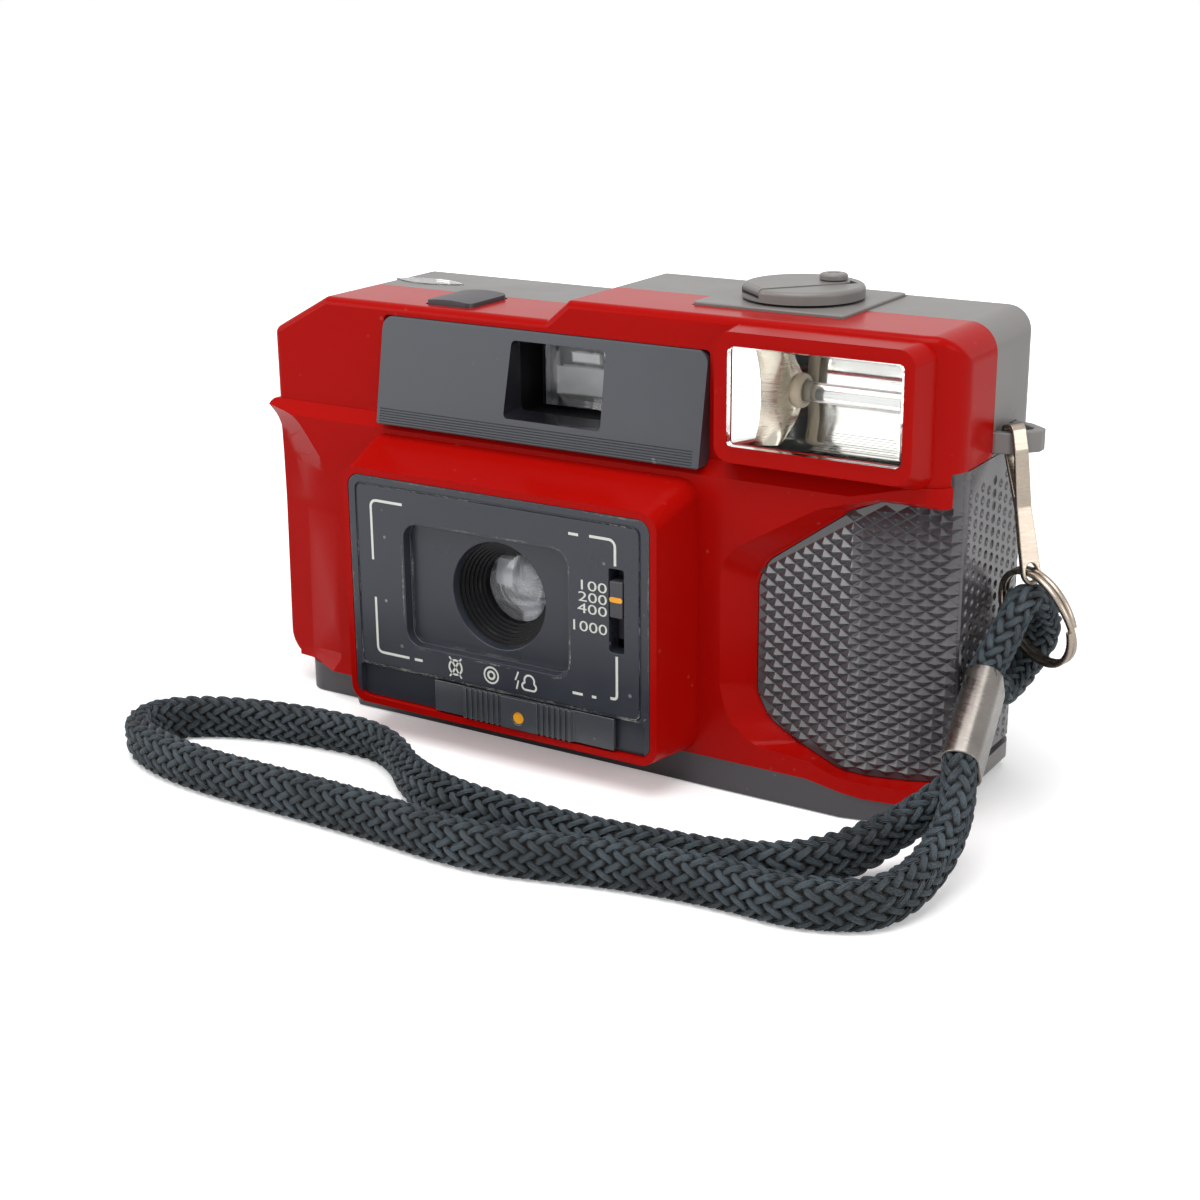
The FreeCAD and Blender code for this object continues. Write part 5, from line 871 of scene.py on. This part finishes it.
def braid(name, route, stations, node_name):
    """A braided cord as a mesh. Its middle line is the spline of the route. The yarns wind both ways round
    the flat section, one turn each PITCH; each yarn passes over two and under two, so its height is a
    smoothed square wave of its crossing number. A yarn is an arched strip of five points across.
    `stations` are (route index, width, thickness, tilt in degrees, shear, direction of the wide side)."""
    line, t, length = spline(route, 0.35)
    tangent = np.gradient(line, axis=0)
    tangent /= np.linalg.norm(tangent, axis=1)[:, None]
    marks = np.array([s[0] for s in stations]) - 0.5
    wide, thick, tilt, shear = [np.interp(t, marks, [s[i] for s in stations]) for i in (1, 2, 3, 4)]
    up = np.array([np.interp(t, marks, [s[5][i] for s in stations]) for i in range(3)]).T
    up -= tangent * (up * tangent).sum(1)[:, None]
    up /= np.linalg.norm(up, axis=1)[:, None]
    side = np.cross(tangent, up)
    c, s = np.cos(np.radians(tilt))[:, None], np.sin(np.radians(tilt))[:, None]
    up, side = up * c + side * s, side * c - up * s
    grid = np.linspace(0, length, len(line))

    def at(run, angle, lift):
        """Points at a distance along the middle line, an angle round the section and a lift out of it."""
        def value(values):
            return np.interp(run, grid, values)

        def where(values):
            return np.stack([value(values[:, i]) for i in range(3)], -1)

        w, h = value(wide), value(thick)
        a, b = section(angle, w, h)
        da, db = section(angle + 0.02, w, h)
        ta, tb = da - a, db - b
        size = np.maximum(np.hypot(ta, tb), 1e-9)
        a, b = a + lift * tb / size, b - lift * ta / size
        return (where(line) + where(up) * a[..., None] + where(side) * b[..., None]
                + where(tangent) * (value(shear) * a)[..., None]).reshape(-1, 3)

    verts, faces, uvs, height = [], [], [], []
    along = length / math.cos(math.atan(GIRTH / PITCH))
    rows = int(along / 0.4)
    run = np.linspace(0, length, rows)
    turn = 2 * np.pi * run / PITCH
    gap = 2 * np.pi / CARRIERS
    across = np.array([-1.0, -0.62, 0.0, 0.62, 1.0])
    arch = np.array([-0.06, 0.42, 0.64, 0.42, -0.06])
    strip = np.array(net(rows, len(across)))
    for way in (1, -1):
        for k in range(CARRIERS):
            # the yarn meets number j of the other way where j = k + 2 way turn / gap
            wave = np.sin(np.pi / 2 * (2 * k + 2 * turn / gap * way) + np.pi / 4)
            over = (np.tanh(2.2 * wave) / math.tanh(2.2) * way)[:, None]
            angle = (way * turn + k * gap)[:, None] + across * 0.47 * gap
            lift = 0.24 * over + arch * (0.8 + 0.2 * over) - 0.38
            faces.append(strip + sum(len(v) for v in verts))
            verts.append(at(run[:, None] + 0 * angle, angle, lift))
            # height: 0 where the yarn dips under, up to 1 at the crown of a yarn on top; the look darkens low
            # places with it as painted shade.
            height.append(np.clip((0.5 + 0.5 * over) * (0.3 + 1.4 * arch), 0, 1).ravel())
            uv = np.broadcast_arrays((run / length * along)[:, None] + 7.3 * k, across * 0.65 + k * 3.1)
            uvs.append(np.stack(uv, -1).reshape(-1, 2))
    rows, columns = int(length / 0.8), 16
    run = np.linspace(0, length, rows)[:, None]
    angle = np.linspace(0, 2 * np.pi, columns + 1)[:-1] + 0 * run
    faces.append(np.array(net(rows, columns, sum(len(v) for v in verts), round_columns=True)))
    verts.append(at(run + 0 * angle, angle, -0.42 + 0 * angle))
    # The core gets height 0, so it takes the painted shade colour.
    height.append(np.zeros(rows * columns))
    uvs.append(np.zeros((rows * columns, 2)))
    verts, faces = np.concatenate(verts) * MM, np.concatenate(faces)
    verts[:, 2] = np.maximum(verts[:, 2], 0.02 * MM)
    uvs, height = np.concatenate(uvs), np.concatenate(height)
    mesh = bpy.data.meshes.new(name)
    mesh.from_pydata(verts, [], faces.tolist())
    mesh.uv_layers.new(name="yarn").data.foreach_set("uv", uvs[faces.ravel()].ravel())
    mesh.attributes.new("height", "FLOAT", "POINT").data.foreach_set("value", height.astype(np.float32))
    outward(mesh, line * MM)
    mesh.polygons.foreach_set("use_smooth", [True] * len(mesh.polygons))
    piece = placed(name, mesh, LOOKS["braid"])
    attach(piece, "camera")
    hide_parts(node_name)
    return piece, [list(p) for p in line * MM]


def outward(mesh, line):
    """Turns each face away from the nearest point of the middle line."""
    tree = kdtree.KDTree(len(line))
    for i, p in enumerate(line):
        tree.insert(p, i)
    tree.balance()
    for f in [f for f in mesh.polygons if f.normal.dot(f.center - tree.find(f.center)[0]) < 0]:
        f.flip()


UP = (0, 0, 1)
wrist, wrist_line = braid(
    "wrist_braid", WRIST_ROUTE,
    [(0, 3.9, 4.2, 0, 0, ACROSS), (1.2, 4.0, 4.2, 0, 0, ACROSS), (3, 6.6, 4.0, 0, 0, (0.0, -0.3, 0.95)),
     (5, 7.0, 3.8, 0, 0, UP), (18, 7.0, 3.8, 0, 0, UP), (20, 7.0, 3.8, -8, 0, UP), (22, 7.0, 3.8, 14, 0, UP),
     (25, 7.0, 3.8, 22, 0.2, UP), (26.5, 7.0, 3.9, 12, 0.75, UP), (28, 7.0, 3.8, -12, 0.3, UP),
     (30, 7.0, 3.8, -18, 0, UP), (34, 7.0, 3.8, -10, 0, UP), (36.5, 6.6, 4.0, 0, 0, (0.0, -0.2, 0.98)),
     (38.8, 4.0, 4.2, 0, 0, ACROSS), (40.5, 3.9, 4.2, 0, 0, ACROSS)],
    "wrist_cord")
[v * MM for v in ferrule_spot("foot", 1, 0)]
loop, loop_line = braid(
    "loop_braid", LOOP_ROUTE,
    [(0, 3.9, 4.2, 0, 0, ACROSS), (1.2, 4.0, 4.2, 0, 0, ACROSS), (3, 6.5, 3.8, 0, 0, (0.5, -0.7, 0.4)),
     (4.5, 6.8, 3.6, 0, 0, (0.8, -0.5, 0.2)), (6, 6.8, 3.6, 0, 0, (0.8, 0.3, 0.2)),
     (8, 5.5, 3.8, 0, 0, (0.5, 0.3, -0.3)), (9.2, 4.0, 4.2, 0, 0, ACROSS), (10.5, 3.9, 4.2, 0, 0, ACROSS)],
    "ring_loop_cord")
[v * MM for v in ferrule_spot("top", 1, 0)]


# Studio

def seen_by_camera(tree):
    """Whether a ray comes from the camera, straight or through glass, and the light path node's sockets."""
    rays = node(tree, "LightPath").outputs
    return reckon(tree, "MAXIMUM", rays["Is Camera Ray"], rays["Is Transmission Ray"]), rays


def pale_floor():
    """White paper, lit for the camera more and more with its distance from the object."""
    mesh = bpy.data.meshes.new("floor")
    mesh.from_pydata([(x, y, -0.0002) for x, y in ((-3, -3), (3, -3), (3, 3), (-3, 3))], [], [(0, 1, 2, 3)])
    floor = bpy.data.objects.new("floor", mesh)
    bpy.context.collection.objects.link(floor)
    made, tree, main = shader("floor paper", Roughness=0.9, Specular_IOR_Level=0.1,
                              Base_Color=(0.9, 0.9, 0.9, 1), Emission_Color=(1, 1, 1, 1))
    far = node(tree, "VectorMath", {0: object_place(tree)}, operation="LENGTH").outputs["Value"]
    seen, _ = seen_by_camera(tree)
    feed(main, {"Emission Strength": reckon(tree, "MULTIPLY", seen, ramp(tree, far, 0.12, 0.6, 0.25, 1.0))})
    mesh.materials.append(made)


def white_world():
    """White surroundings, dimmer for diffuse light."""
    world = bpy.data.worlds.new("studio")
    bpy.context.scene.world = world
    world.use_nodes = True
    tree = world.node_tree
    seen, rays = seen_by_camera(tree)
    bright = ramp(tree, reckon(tree, "MAXIMUM", seen, rays["Is Glossy Ray"]), 0.0, 1.0, 0.5, 1.0)
    feed(tree.nodes["Background"], {"Strength": bright, "Color": (1, 1, 1, 1)})


def lamps():
    """A soft ceiling light and two weak side lights."""
    for name, place, aim, size, power in (
            ("ceiling", (0.05, -0.25, 0.75), (0.0, 0.0, 0.03), 0.6, 5.5),
            ("left box", (-0.7, -0.6, 0.35), (0.0, 0.0, 0.03), 0.5, 2.2),
            ("right box", (0.8, -0.15, 0.3), (0.05, 0.0, 0.03), 0.4, 1.6)):
        lamp = bpy.data.lights.new(name, "AREA")
        lamp.shape = "SQUARE"
        lamp.size = size
        lamp.energy = power
        thing = bpy.data.objects.new(name, lamp)
        thing.location = place
        thing.rotation_euler = (Vector(aim) - Vector(place)).to_track_quat("-Z", "Y").to_euler()
        bpy.context.collection.objects.link(thing)


def photo_view():
    """The camera at the photograph's view, its focal length solved in a frame of 1200 by 1200 pixels."""
    lens = bpy.data.cameras.new("photo view")
    lens.sensor_width = 36.0
    lens.lens = 1999.86 / 1200 * lens.sensor_width
    lens.clip_start, lens.clip_end = 0.01, 10.0
    camera = bpy.data.objects.new("photo view", lens)
    forward = Vector((-0.50336, 0.80407, -0.31640)).normalized()
    right = forward.cross(Vector((0, 0, 1))).normalized()
    above = right.cross(forward)
    roll = math.radians(-0.53)
    across = right * math.cos(roll) + above * math.sin(roll)
    above = above * math.cos(roll) - right * math.sin(roll)
    turn = Matrix((across, above, -forward)).transposed().to_4x4()
    camera.matrix_world = Matrix.Translation(Vector((0.167016, -0.274234, 0.129121))) @ turn
    bpy.context.collection.objects.link(camera)
    bpy.context.scene.camera = camera
    bpy.context.scene.view_settings.view_transform = "Standard"


pale_floor()
white_world()
lamps()
photo_view()
